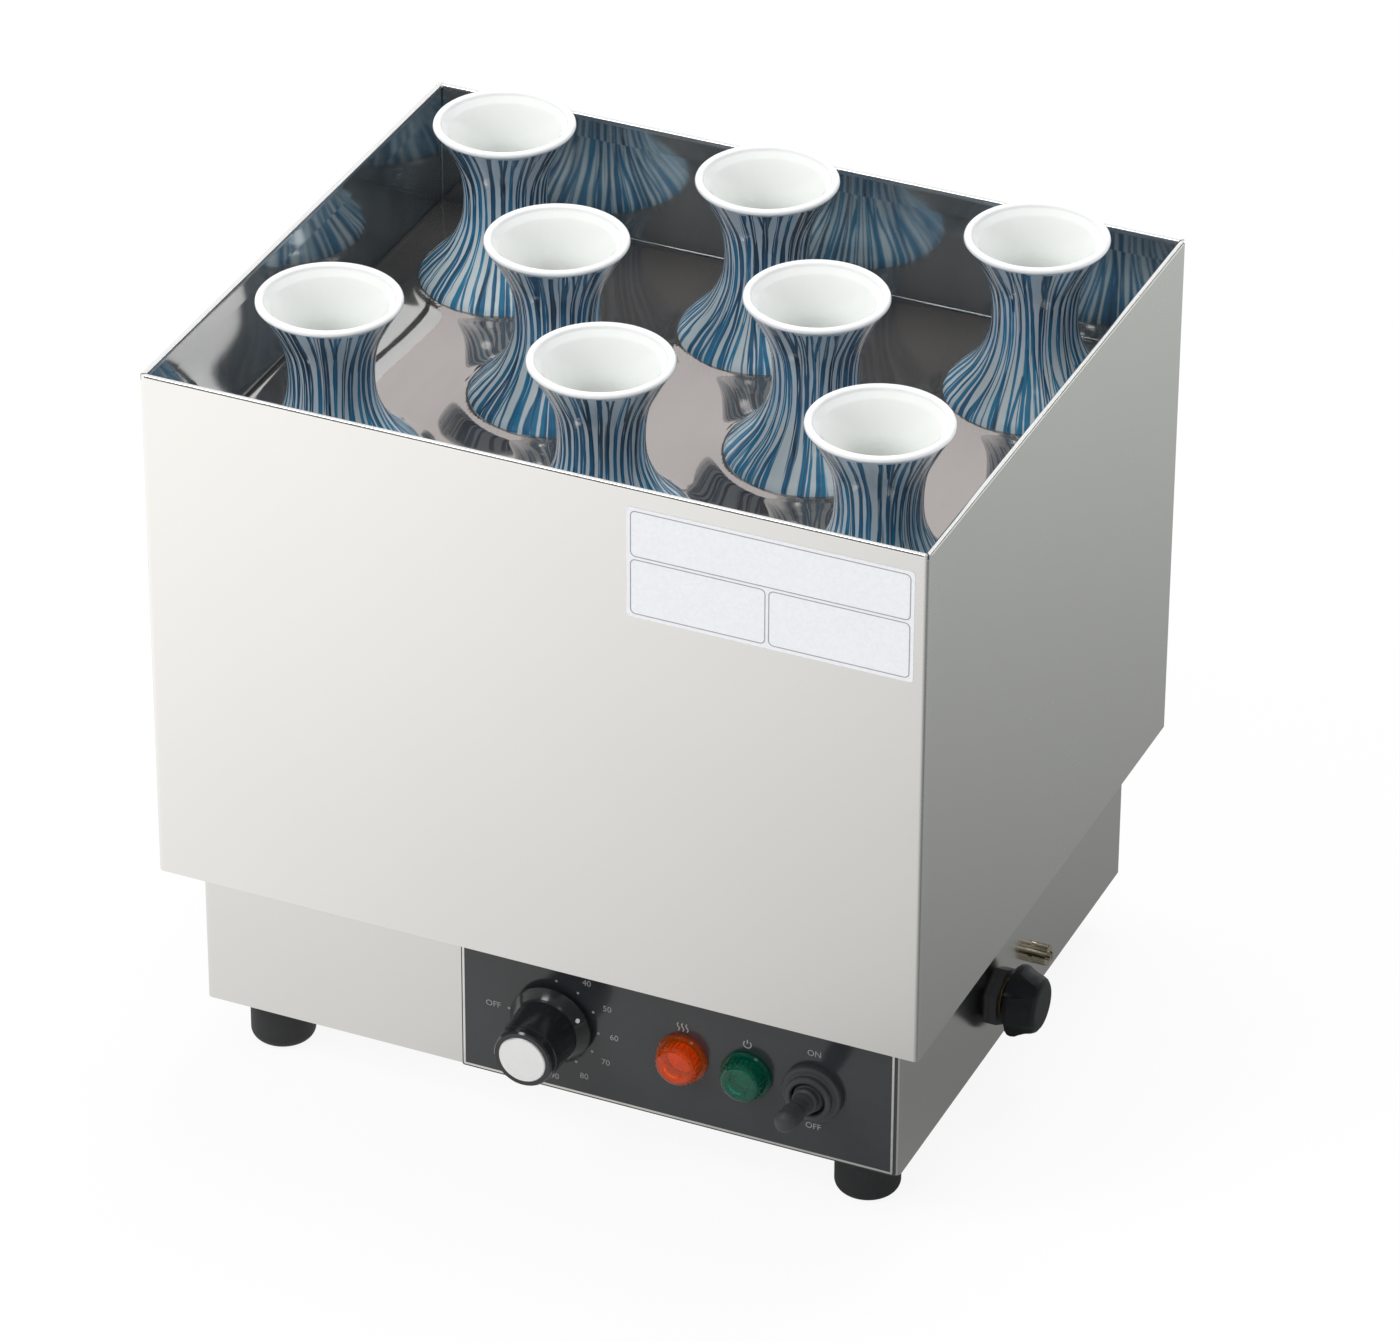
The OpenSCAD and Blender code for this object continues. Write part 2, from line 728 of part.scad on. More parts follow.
module foot_nuts() color(dark_steel) place() {
    for (x = [-1, 1], y = [-1, 1])
        translate(foot_at(x, y) + [0, 0, base_z + base_sheet])
            hex_part(8, foot_screw_d / 2 + fit, 4);
}

// ---- control panel ----

module control_panel() color(panel_grey) place() {
    difference() {
        translate([panel_left_x + panel_w / 2, front_y, base_z + panel_gap_z + panel_h / 2])
            facing_front() plate(panel_w, panel_h, panel_t, 0.8);
        control_holes();
    }
}

// ---- thermostat and knob ----

thermostat_screw_d = 3;
thermostat_screw_dx = 11;
shaft_out = knob_l - 8;
flat_cut = 1;
skirt_gap = 2.4;
skirt_t = 5;
marker_d = 1.8;
marker_t = 0.75;
marker_seat = 0.6;
cone_rim = [skirt_d / 2 - 0.3, skirt_gap + 1.6];
cone_top = [grip_d / 2 + 0.7, skirt_gap + skirt_t];
cap_seat = 0.9;

module thermostat_body() color(black) place() {
    rear = panel_t + base_sheet;
    difference() {
        union() {
            at_knob() translate([0, 0, -rear - thermostat_depth]) {
                translate([0, 0, thermostat_depth * 0.35])
                    plate(thermostat_w, thermostat_h, thermostat_depth * 0.65, 2);
                plate(thermostat_w - 8, thermostat_h - 4, thermostat_depth * 0.35 + eps, 2);
            }
            at_knob() translate([0, 0, -rear]) cylinder(d = thermostat_boss_d, h = rear + 1.4);
        }
        at_knob() translate([0, 0, -rear - 10]) cylinder(d = shaft_d + 2 * fit, h = rear + 12);
        for (side = [-1, 1])
            at_knob(side * thermostat_screw_dx)
                translate([0, 0, -rear - 8]) cylinder(d = thermostat_screw_d + 2 * fit, h = 9);
        translate([thermostat_x, front_y + base_sheet + thermostat_depth - 3, capillary_z])
            facing_back() cylinder(d = capillary_d + 2 * fit, h = 4);
    }
    for (x = [-1, 1])
        at_knob() translate([x * 8 - 3, -6, -rear - thermostat_depth - 8])
            cube([6, 0.8, 8 + eps]);
}

module thermostat_screws() color(dark_steel) place() {
    for (side = [-1, 1])
        at_knob(side * thermostat_screw_dx) mirror([0, 0, 1])
            pan_screw(thermostat_screw_d, 9, 5, 1.6);
}

module thermostat_shaft() color(nickel) place() {
    at_knob() difference() {
        translate([0, 0, -panel_t - base_sheet - 9])
            cylinder(d = shaft_d, h = 9 + panel_t + base_sheet + shaft_out);
        translate([-shaft_d, shaft_d / 2 - flat_cut, 3]) cube([2 * shaft_d, shaft_d, shaft_out]);
    }
}

// Puts what is drawn along +Z on the skirt's cone, in the direction of the marker
module at_marker() {
    at = cone_top + 0.35 * (cone_rim - cone_top);
    tilt = atan2(cone_top[1] - cone_rim[1], cone_rim[0] - cone_top[0]);
    at_knob() rotate(marker_angle) translate([at[0], 0, at[1]]) rotate([0, tilt, 0])
        translate([0, 0, -marker_seat]) children();
}

module knob() color(black) place() {
    grip_z = cone_top[1];
    step_z = knob_l - 4.2;
    step_r = grip_d / 2 + (grip_front_d - grip_d) / 2 * (step_z - grip_z) / (knob_l - grip_z);
    front_r = grip_front_d / 2;
    difference() {
        at_knob() rotate_extrude() polygon([
            [0, skirt_gap], [skirt_d / 2 - 0.5, skirt_gap], [skirt_d / 2, skirt_gap + 0.5],
            [skirt_d / 2, cone_rim[1] - 0.5], cone_rim, cone_top,
            [grip_d / 2, grip_z + 0.8], [step_r, step_z], [step_r - 0.5, step_z + 0.35],
            [front_r - 0.1, step_z + 0.6], [front_r - 0.3, knob_l - 0.8],
            [front_r - 0.9, knob_l], [0, knob_l]
        ]);
        at_knob() difference() {
            translate([0, 0, skirt_gap - 1])
                cylinder(d = shaft_d + 2 * fit, h = shaft_out - skirt_gap + 1.2);
            translate([-shaft_d, shaft_d / 2 - flat_cut + fit, 3.2])
                cube([2 * shaft_d, shaft_d, shaft_out]);
        }
        at_knob() translate([0, 0, skirt_gap - 1])
            cylinder(d = 2 * (thermostat_screw_dx + 3.2), h = 2.6);
        at_knob() translate([0, 0, knob_l - cap_seat]) cylinder(d = knob_cap_d + 2 * fit, h = 2);
        at_marker() cylinder(d = marker_d + 2 * fit, h = 2);
    }
}

module knob_cap() color("silver") place() {
    at_knob() translate([0, 0, knob_l - cap_seat]) rotate_extrude() polygon([
        [0, 0], [knob_cap_d / 2, 0], [knob_cap_d / 2, cap_seat],
        [knob_cap_d / 2 - 0.4, cap_seat + 0.4], [0, cap_seat + 0.4]
    ]);
}

module knob_marker() color("white") place() {
    at_marker() cylinder(d = marker_d, h = marker_t);
}

// ---- pilot lamps ----

lamp_flange_t = 2.2;
lamp_wall = 1.2;
lamp_ribs = 24;
lamp_depth = 14;
bulb_dome_d = 5;
tab_l = 8;

// Hollow moulded lens: a flange, a fluted wall and a front face with a raised ring
module lamp_lens(x) {
    r = lamp_lens_d / 2;
    on_panel(x) difference() {
        union() {
            rotate_extrude() polygon([
                [0, 0], [lamp_flange_d / 2, 0], [lamp_flange_d / 2, lamp_flange_t - 0.8],
                [lamp_flange_d / 2 - 0.8, lamp_flange_t], [r, lamp_flange_t],
                [r - 0.3, lamp_l - 1.6], [r - 0.8, lamp_l - 0.7], [r - 1.6, lamp_l - 0.2],
                [r - 2.4, lamp_l], [r * 0.5, lamp_l], [r * 0.45, lamp_l - 0.5], [0, lamp_l - 0.5]
            ]);
            for (i = [0 : lamp_ribs - 1])
                rotate(i * 360 / lamp_ribs) translate([r - 0.25, 0, lamp_flange_t - 0.4])
                    cylinder(r = 0.45, h = lamp_l - lamp_flange_t - 1.4, $fn = 16);
        }
        translate([0, 0, -1]) cylinder(r = r - lamp_wall - 0.4, h = lamp_l - lamp_wall + 0.4);
    }
}

// Body behind the lens, with a small bulb that stands inside it and two tabs at the back
module lamp_body(x) {
    rear = panel_t + base_sheet;
    on_panel(x) {
        translate([0, 0, -rear - lamp_depth]) cylinder(d = lamp_body_d, h = rear + lamp_depth);
        cylinder(d = lamp_body_d * 0.7, h = 2);
        cylinder(d = bulb_dome_d, h = lamp_l - bulb_dome_d);
        translate([0, 0, lamp_l - bulb_dome_d]) sphere(d = bulb_dome_d);
        for (side = [-1, 1])
            translate([side * 3 - 0.4, -1.4, -rear - lamp_depth - tab_l]) cube([0.8, 2.8, tab_l]);
    }
}
module heater_lamp_lens() color("#e8641c") place() lamp_lens(heater_lamp_x);
module heater_lamp_body() color("#e9e2cf") place() lamp_body(heater_lamp_x);
module power_lamp_lens() color("#0f6a4d") place() lamp_lens(power_lamp_x);
module power_lamp_body() color("#e9e2cf") place() lamp_body(power_lamp_x);

module lamp_nuts() color(dark_steel) place() {
    nut_h = 2.5;
    for (x = [heater_lamp_x, power_lamp_x])
        on_panel(x) translate([0, 0, -panel_t - base_sheet - nut_h])
            hex_part(16, lamp_body_d / 2 + fit, nut_h);
}

// ---- toggle switch ----

seal_t = 3.4;
seal_step_d = seal_d - 5.6;
seal_step_h = 6.6;
lever_ball_d = 13.6;
seal_bore_d = lever_ball_d + 0.6;
lever_root_d = 10.4;
lever_neck_d = lever_tip_d - 1.2;
switch_depth = 26;
switch_case_w = 17;
switch_case_h = 30;

module switch_body() color(black) place() {
    rear = panel_t + base_sheet;
    on_panel(switch_x) {
        translate([0, 0, -rear - switch_depth]) plate(switch_case_w, switch_case_h, switch_depth, 1);
        translate([0, 0, -rear - eps])
            ring(switch_bushing_d / 2, switch_bushing_d / 2 - 1.6, rear + 0.6);
        for (y = [-10, 0, 10])
            translate([-3, y - 0.4, -rear - switch_depth - tab_l]) cube([6, 0.8, tab_l]);
    }
}

// Rubber seal: a wide ring on the panel and a narrower step in front of it
module switch_seal() color(rubber) place() {
    on_panel(switch_x) rotate_extrude() polygon([
        [switch_bushing_d / 2 + hole_gap, 0], [seal_d / 2, 0], [seal_d / 2, seal_t - 1],
        [seal_d / 2 - 0.3, seal_t - 0.4], [seal_d / 2 - 1, seal_t], [seal_step_d / 2 + 0.6, seal_t],
        [seal_step_d / 2, seal_t + 0.5], [seal_step_d / 2, seal_step_h - 0.9],
        [seal_step_d / 2 - 0.3, seal_step_h - 0.3], [seal_step_d / 2 - 0.9, seal_step_h],
        [seal_bore_d / 2 + 0.5, seal_step_h], [seal_bore_d / 2, seal_step_h - 0.5],
        [seal_bore_d / 2, 1.2], [switch_bushing_d / 2 + hole_gap, 1.2]
    ]);
}

// Booted lever, drawn along +Z from its pivot, at its switched-on angle: a dome in the seal,
// a waist, a round tip, and a thin root that reaches into the switch
module switch_lever() color(rubber) place() {
    collar_z = lever_l * 0.66;
    ball_r = lever_ball_d / 2;
    dome_cut = 0.6;
    pin_r = 1;
    pin_l = 9;
    on_panel(switch_x) translate([0, 0, lever_pivot_y]) rotate([-lever_tilt, 0, 0]) {
        difference() {
            sphere(r = ball_r);
            translate([-ball_r, -ball_r, dome_cut - 2 * ball_r]) cube(2 * ball_r);
        }
        translate([0, 0, -4]) cylinder(r = 2, h = 4 + 2 * dome_cut);
        translate([-pin_l / 2, 0, 0]) facing_right() cylinder(r = pin_r, h = pin_l);
        rotate_extrude() polygon([
            [0, dome_cut], [lever_root_d / 2, 2], [lever_root_d / 2, ball_r],
            [lever_root_d / 2 - 0.8, ball_r + 1], [lever_neck_d / 2 + 0.4, ball_r + 2.2],
            [lever_neck_d / 2, ball_r + 4], [lever_neck_d / 2, collar_z - 1],
            [lever_tip_d / 2 - 0.4, collar_z], [lever_tip_d / 2, collar_z + 1],
            [lever_tip_d / 2, lever_l], [0, lever_l]
        ]);
        translate([0, 0, lever_l]) sphere(d = lever_tip_d);
    }
}

// ---- drain ----

ball_d = 15;
stem_d = 6;
cock_body_d = 23;
cock_half = 13;
boss_out = 3;
handle_gap = 0.6;

// Everything of the cock is drawn about the point where its stem meets the pipe
module at_cock() {
    translate([drain_x, -cock_y, cock_height]) children();
}

// Pipe from the tank's floor to the cock, and below the cock a spout whose end takes a hose
module drain_pipe() color(nickel) place() {
    top = tank_floor_z - cock_height;
    shoulder = base_z - 1;
    spout_wall = 1.2;
    at_cock() {
        translate([0, 0, cock_half]) ring(drain_d / 2, drain_bore / 2, top - cock_half);
        translate([0, 0, tank_z - cock_height - 3]) ring(drain_d / 2 + 3, drain_d / 2 - eps, 3);
        translate([0, 0, shoulder - cock_height])
            ring(drain_d / 2, drain_bore / 2, cock_height - shoulder - cock_half);
        translate([0, 0, spout_z - cock_height])
            ring(drain_bore / 2 + spout_wall, drain_bore / 2, shoulder - spout_z);
    }
}

module cock_body() color(brass) place() {
    boss_l = cock_depth + boss_out;
    at_cock() difference() {
        union() {
            translate([0, 0, -cock_half]) cylinder(d = cock_body_d, h = 2 * cock_half);
            for (side = [0, 1])
                mirror([0, 0, side]) translate([0, 0, cock_half - 6]) hex_part(24, 0, 6);
            facing_right() cylinder(d = cock_boss_d, h = boss_l);
        }
        translate([0, 0, -cock_half - 1]) cylinder(d = drain_bore, h = 2 * cock_half + 2);
        sphere(d = ball_d + 2 * fit);
        facing_right() cylinder(d = stem_d + 2 * fit, h = boss_l + 1);
    }
}

module cock_nut() color(black) place() {
    at_cock() translate([cock_depth, 0, 0])
        facing_right() hex_part(22, cock_boss_d / 2 + fit, boss_out - 0.4);
}

stem_l = cock_depth + handle_l - 4;

// Closed while the ball's bore lies across the pipe; a quarter turn lines the two up
module cock_ball() color(nickel) place() {
    at_cock() {
        difference() {
            sphere(d = ball_d);
            rotate([90, 0, 0]) cylinder(d = drain_bore - 1, h = 2 * ball_d, center = true);
        }
        translate([ball_d / 2 - 1, 0, 0])
            facing_right() cylinder(d = stem_d, h = stem_l - ball_d / 2 + 1);
    }
}

// Moulded grip: a round profile turned about the stem, cut into lobes by flutes
module cock_handle() color(black) place() {
    lobes = 4;
    r = handle_d / 2;
    flute_r = r * 0.44;
    flute_at = r + flute_r * 0.35;
    back = boss_out + handle_gap;
    fat = back + 0.26 * (handle_l - back);
    slim = back + 0.66 * (handle_l - back);
    first_flute = 32;
    at_cock() translate([cock_depth, 0, 0]) rotate([0, 90, 0]) difference() {
        rotate_extrude() polygon([
            [0, back], [r * 0.56, back], [r * 0.64, back + 0.5], [r * 0.9, fat - 2.2],
            [r * 0.98, fat - 1], [r, fat + 0.4], [r * 0.985, fat + 1.8], [r * 0.93, fat + 3],
            [r * 0.84, slim], [r * 0.8, handle_l - 2.6], [r * 0.75, handle_l - 1.2],
            [r * 0.66, handle_l - 0.3], [r * 0.56, handle_l], [0, handle_l]
        ]);
        for (i = [0 : lobes - 1])
            rotate(first_flute + i * 360 / lobes) translate([flute_at, 0, back - 1])
                cylinder(r = flute_r, h = handle_l);
        translate([0, 0, back - 1])
            cylinder(d = stem_d + 2 * fit, h = stem_l - cock_depth - back + 1.2);
    }
}

// ---- earth terminal, cord bushing, terminal block ----

module earth_terminal() color(brass) place() {
    knurls = 18;
    washer_t = 0.8;
    nut_l = 5.4;
    translate([side_x, earth_y, earth_height]) facing_right() {
        ring(earth_d / 2, stud_d / 2 - eps, washer_t);
        translate([0, 0, washer_t]) difference() {
            ring(earth_d / 2 - 0.2, stud_d / 2 - eps, nut_l);
            for (i = [0 : knurls - 1])
                rotate(i * 360 / knurls) translate([earth_d / 2, 0, -1])
                    cylinder(r = 0.45, h = nut_l + 2, $fn = 4);
        }
        translate([0, 0, -base_sheet - 8]) difference() {
            cylinder(d = stud_d, h = base_sheet + 8 + washer_t + nut_l + 1.4);
            translate([-stud_d, -0.4, base_sheet + 8 + washer_t + nut_l + 0.4]) cube([2 * stud_d, 0.8, 2]);
        }
        translate([0, 0, -base_sheet - 3.2]) hex_part(7, stud_d / 2 - eps, 3.2);
    }
}

module cord_bushing() color(rubber) place() {
    neck = bushing_neck_d / 2;
    translate([bushing_x, base_d / 2 - base_sheet, bushing_height]) facing_back()
        rotate_extrude() polygon([
            [bushing_bore / 2, -6], [neck + 1.4, -6], [neck + 1.4, 0], [neck, 0], [neck, base_sheet],
            [neck + 2.5, base_sheet], [neck + 2.5, base_sheet + 2.2], [neck + 1.8, base_sheet + 3],
            [neck - 1.5, base_sheet + 3.6], [neck - 2.4, base_sheet + 10],
            [bushing_bore / 2, base_sheet + 10]
        ]);
}

block_poles = 4;
block_pitch = 13;
block_d = 22;
block_h = 12;
block_at = [-40, 70];

module terminal_block() color("#dcd8cc") place() {
    w = block_poles * block_pitch + 4;
    translate([block_at[0], block_at[1], base_z + base_sheet]) difference() {
        union() {
            translate([-w / 2, -block_d / 2, 0]) cube([w, block_d, block_h * 0.6]);
            for (i = [0 : block_poles])
                translate([(i - block_poles / 2) * block_pitch - 1, -block_d / 2, 0])
                    cube([2, block_d, block_h]);
        }
        for (i = [0 : block_poles - 1], y = [-1, 1])
            translate([(i - (block_poles - 1) / 2) * block_pitch, y * block_d / 4, 2])
                cylinder(d = 3 + 2 * fit, h = block_h);
    }
}

module terminal_screws() color(nickel) place() {
    for (i = [0 : block_poles - 1], y = [-1, 1])
        translate([
            block_at[0] + (i - (block_poles - 1) / 2) * block_pitch,
            block_at[1] + y * block_d / 4,
            base_z + base_sheet + block_h * 0.6
        ]) mirror([0, 0, 1]) pan_screw(3, 5, 6, 1.8);
}

// ---- flasks ----

// Outline of a flask: height as a share of its own, then radius
flask_outline = [
    [0, flask_foot_r], [0.03, flask_foot_r + 2.6], [0.16, flask_body_r - 2.6],
    [0.34, flask_body_r - 0.2], [0.5, flask_body_r - 0.6], [0.62, flask_body_r - 4.1],
    [0.66, flask_body_r - 8.7], [0.703, flask_waist_r + 6.6], [0.747, flask_waist_r + 2.2],
    [0.79, flask_waist_r + 0.2], [0.846, flask_waist_r], [0.9, flask_waist_r + 1.7],
    [0.956, flask_mouth_r - 4.9], [1, flask_mouth_r]
];
flask_pitch_x = tank_w / 2 - hem_t - flask_gap_x - flask_body_r - flask_shift_x;
flask_pitch_mid = flask_pitch_x - flask_mid_closer;
flask_pitch_y = tank_d / 2 - hem_t - flask_gap_y - flask_body_r - flask_shift_y;
flask_steps = 5;
flask_lip_r = flask_wall / 2;
flask_foot_ring = 2.4;

// Smooth curve through points: a Catmull-Rom spline, with a number of steps between points
function spline_point(a, b, c, d, t) =
    0.5 * (2 * b + (c - a) * t + (2 * a - 5 * b + 4 * c - d) * t * t + (3 * b - a - 3 * c + d) * t * t * t);
function spline(points, steps) = let (last = len(points) - 1) [
    for (i = [0 : last - 1], s = [0 : steps - 1])
        spline_point(points[max(i - 1, 0)], points[i], points[i + 1], points[min(i + 2, last)], s / steps),
    points[last]
];

// Points moved inwards, square to the curve, by the wall's thickness
function inner_side(curve, wall) = [
    for (i = [0 : len(curve) - 1])
        let (
            along = unit(curve[min(i + 1, len(curve) - 1)] - curve[max(i - 1, 0)]),
            moved = curve[i] + wall * [-along[1], along[0]]
        ) moved
];
function reversed(list) = [for (i = [len(list) - 1 : -1 : 0]) list[i]];

module flask_shape() {
    lip_base = flask_h - flask_lip_r;
    points = [for (p = flask_outline) [p[1], p[0] * lip_base]];
    outer = spline(points, flask_steps);
    inner = [for (p = inner_side(outer, flask_wall)) if (p[1] > 7 && p[1] < lip_base - 1.5) p];
    lip_mid = outer[len(outer) - 1] - [flask_lip_r, 0];
    lip = [for (a = [30 : 30 : 150]) lip_mid + flask_lip_r * [cos(a), sin(a)]];
    floor_r = inner[0][0] - 3;
    rotate_extrude() polygon(concat(
        [[0, flask_foot_ring], [flask_foot_r - 5, flask_foot_ring], [flask_foot_r - 3.4, 0]],
        outer, lip, [lip_mid - [flask_lip_r, 0]], reversed(inner), [[floor_r, 6], [0, 6]]
    ));
}

// One flask, by its column and row from the middle of the group
module flask(column, row, pitch) color(glaze) place() {
    translate([flask_shift_x + column * pitch, flask_shift_y + row * flask_pitch_y, shelf_top_z])
        flask_shape();
}
module flask_back_left() flask(-1, 1, flask_pitch_x);
module flask_back_middle() flask(0, 1, flask_pitch_x);
module flask_back_right() flask(1, 1, flask_pitch_x);
module flask_middle_left() flask(-0.5, 0, flask_pitch_mid);
module flask_middle_right() flask(0.5, 0, flask_pitch_mid);
module flask_front_left() flask(-1, -1, flask_pitch_x);
module flask_front_middle() flask(0, -1, flask_pitch_x);
module flask_front_right() flask(1, -1, flask_pitch_x);

tank();
shelf();
shelf_legs();
heater();
heater_gaskets();
heater_nuts();
heater_supports();
sensing_bulb();
bulb_clip();
capillary_gland();
base_front();
base_back();
base_left();
base_right();
base_floor();
floor_screws();
tank_studs();
tank_nuts();
foot_front_left();
foot_front_right();
foot_back_left();
foot_back_right();
foot_screws();
foot_nuts();
control_panel();
thermostat_body();
thermostat_screws();
thermostat_shaft();
knob();
knob_cap();
knob_marker();
heater_lamp_lens();
heater_lamp_body();
power_lamp_lens();
power_lamp_body();
lamp_nuts();
switch_body();
switch_seal();
switch_lever();
drain_pipe();
cock_body();
cock_nut();
cock_ball();
cock_handle();
earth_terminal();
cord_bushing();
terminal_block();
terminal_screws();
flask_back_left();
flask_back_middle();
flask_back_right();
flask_middle_left();
flask_middle_right();
flask_front_left();
flask_front_middle();
flask_front_right();
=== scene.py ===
"""Electric sake warmer: a steel water bath on a low base, with eight striped flasks.

Lengths in the code are millimetres unless a comment says otherwise; MM turns them into
the metres that Blender works in.
"""
import math

import bmesh
import bpy
from mathutils import Matrix, Vector


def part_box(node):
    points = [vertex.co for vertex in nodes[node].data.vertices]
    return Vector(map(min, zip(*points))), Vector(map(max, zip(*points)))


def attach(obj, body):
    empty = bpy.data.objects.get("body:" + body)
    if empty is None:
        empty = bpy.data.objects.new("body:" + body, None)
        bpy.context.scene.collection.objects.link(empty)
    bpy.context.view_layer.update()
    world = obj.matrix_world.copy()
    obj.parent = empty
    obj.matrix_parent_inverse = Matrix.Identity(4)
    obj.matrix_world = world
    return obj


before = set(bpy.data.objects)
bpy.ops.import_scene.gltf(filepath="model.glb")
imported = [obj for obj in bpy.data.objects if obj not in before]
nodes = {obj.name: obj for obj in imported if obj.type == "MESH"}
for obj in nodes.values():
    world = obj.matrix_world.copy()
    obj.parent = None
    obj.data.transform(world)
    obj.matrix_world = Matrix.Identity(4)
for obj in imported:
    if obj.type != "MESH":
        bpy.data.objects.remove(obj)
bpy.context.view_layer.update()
scene = bpy.context.scene
scene.view_settings.view_transform = "Standard"

MM = 0.001


def middle(node):
    low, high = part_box(node)
    return (low + high) / 2


# ---------------------------------------------------------------- camera

def make_camera():
    """The photograph's view: from the front right, 32 degrees above the horizon."""
    place = (1.01936, -2.28219, 1.71591)
    right = Vector((0.91410, 0.40547, 0.00397))
    up = Vector((-0.21791, 0.48298, 0.84808))
    back = right.cross(up)
    data = bpy.data.cameras.new("camera")
    data.sensor_width = 36
    data.lens = 194.26
    data.clip_start = 0.05
    data.clip_end = 60
    camera = bpy.data.objects.new("camera", data)
    turn = Matrix((right, up, back)).transposed().to_4x4()
    camera.matrix_world = Matrix.Translation(place) @ turn
    scene.collection.objects.link(camera)
    scene.camera = camera


make_camera()


# ---------------------------------------------------------------- material graphs

class Number:
    """A value in a material's graph that ordinary arithmetic works on."""

    def __init__(self, graph, socket):
        self.graph, self.socket = graph, socket

    def __add__(self, other):
        return self.graph.math("ADD", self, other)

    def __sub__(self, other):
        return self.graph.math("SUBTRACT", self, other)

    def __rsub__(self, other):
        return self.graph.math("SUBTRACT", other, self)

    def __mul__(self, other):
        return self.graph.math("MULTIPLY", self, other)

    def __truediv__(self, other):
        return self.graph.math("DIVIDE", self, other)

    __radd__ = __add__
    __rmul__ = __mul__


class Graph:
    """A material and the few node shapes that its look is written with."""

    def __init__(self, name):
        self.material = bpy.data.materials.new(name)
        self.material.use_nodes = True
        self.tree = self.material.node_tree
        self.tree.nodes.clear()
        self.out = self.tree.nodes.new("ShaderNodeOutputMaterial")
        coordinates = self.tree.nodes.new("ShaderNodeTexCoord")
        self.place = coordinates.outputs["Object"]

    def put(self, socket, value):
        if isinstance(value, Number):
            value = value.socket
        if isinstance(value, bpy.types.NodeSocket):
            self.tree.links.new(value, socket)
        elif isinstance(value, tuple) and len(value) == 3 and socket.type == "RGBA":
            socket.default_value = (*value, 1)
        else:
            socket.default_value = value

    def node(self, kind, inputs=(), **settings):
        made = self.tree.nodes.new(kind)
        for name, value in settings.items():
            setattr(made, name, value)
        for name, value in dict(inputs).items():
            self.put(made.inputs[name], value)
        return made

    def math(self, operation, *values, clamp=False):
        made = self.node("ShaderNodeMath", operation=operation, use_clamp=clamp)
        for i, value in enumerate(values):
            self.put(made.inputs[i], value)
        return Number(self, made.outputs[0])

    def step(self, value, low, high):
        """0 below low, 1 above high, smooth between; falls if low is above high."""
        made = self.node("ShaderNodeMapRange", interpolation_type="SMOOTHSTEP")
        for name, number in (("Value", value), ("From Min", low), ("From Max", high)):
            self.put(made.inputs[name], number)
        return Number(self, made.outputs["Result"])

    def mix(self, factor, first, second):
        made = self.node("ShaderNodeMix", data_type="RGBA")
        self.put(made.inputs["Factor"], factor)
        self.put(made.inputs[6], first)
        self.put(made.inputs[7], second)
        return made.outputs[2]

    def between(self, factor, first, second):
        """A number that runs from first to second as factor runs from 0 to 1."""
        made = self.node("ShaderNodeMapRange")
        for name, number in (("Value", factor), ("To Min", first), ("To Max", second)):
            self.put(made.inputs[name], number)
        return Number(self, made.outputs["Result"])

    def parts(self, vector=None):
        made = self.node("ShaderNodeSeparateXYZ", {"Vector": vector or self.place})
        return [Number(self, made.outputs[i]) for i in range(3)]

    def vector(self, x, y, z):
        made = self.node("ShaderNodeCombineXYZ", {"X": x, "Y": y, "Z": z})
        return made.outputs[0]

    def stretched(self, x, y, z):
        """Object coordinates times three factors."""
        made = self.node("ShaderNodeVectorMath", operation="MULTIPLY")
        self.put(made.inputs[0], self.place)
        made.inputs[1].default_value = (x, y, z)
        return made.outputs[0]

    def noise(self, scale, vector=None, detail=3.0, roughness=0.55):
        made = self.node("ShaderNodeTexNoise", {
            "Vector": vector or self.place, "Scale": scale, "Detail": detail,
            "Roughness": roughness})
        return Number(self, made.outputs["Fac"])

    def chance(self, number, seed):
        """The same random number, 0 to 1, wherever number and seed are the same."""
        made = self.node("ShaderNodeTexWhiteNoise", noise_dimensions="2D")
        self.put(made.inputs["Vector"], self.vector(number, seed, 0))
        return Number(self, made.outputs["Value"])

    def bump(self, height, distance, strength=1.0, after=None):
        made = self.node("ShaderNodeBump", {
            "Height": height, "Distance": distance, "Strength": strength})
        if after is not None:
            self.put(made.inputs["Normal"], after)
        return made.outputs[0]

    def shader(self, **inputs):
        """The surface. Names with spaces are written with underscores."""
        made = self.node("ShaderNodeBsdfPrincipled", {
            name.replace("_", " "): value for name, value in inputs.items()})
        self.tree.links.new(made.outputs[0], self.out.inputs["Surface"])
        return self.material


# ---------------------------------------------------------------- materials

tank_low, tank_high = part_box("tank")
tank_mid = (tank_low + tank_high) / 2
SHEET = 1.0 * MM
WATER_Z = 259 * MM


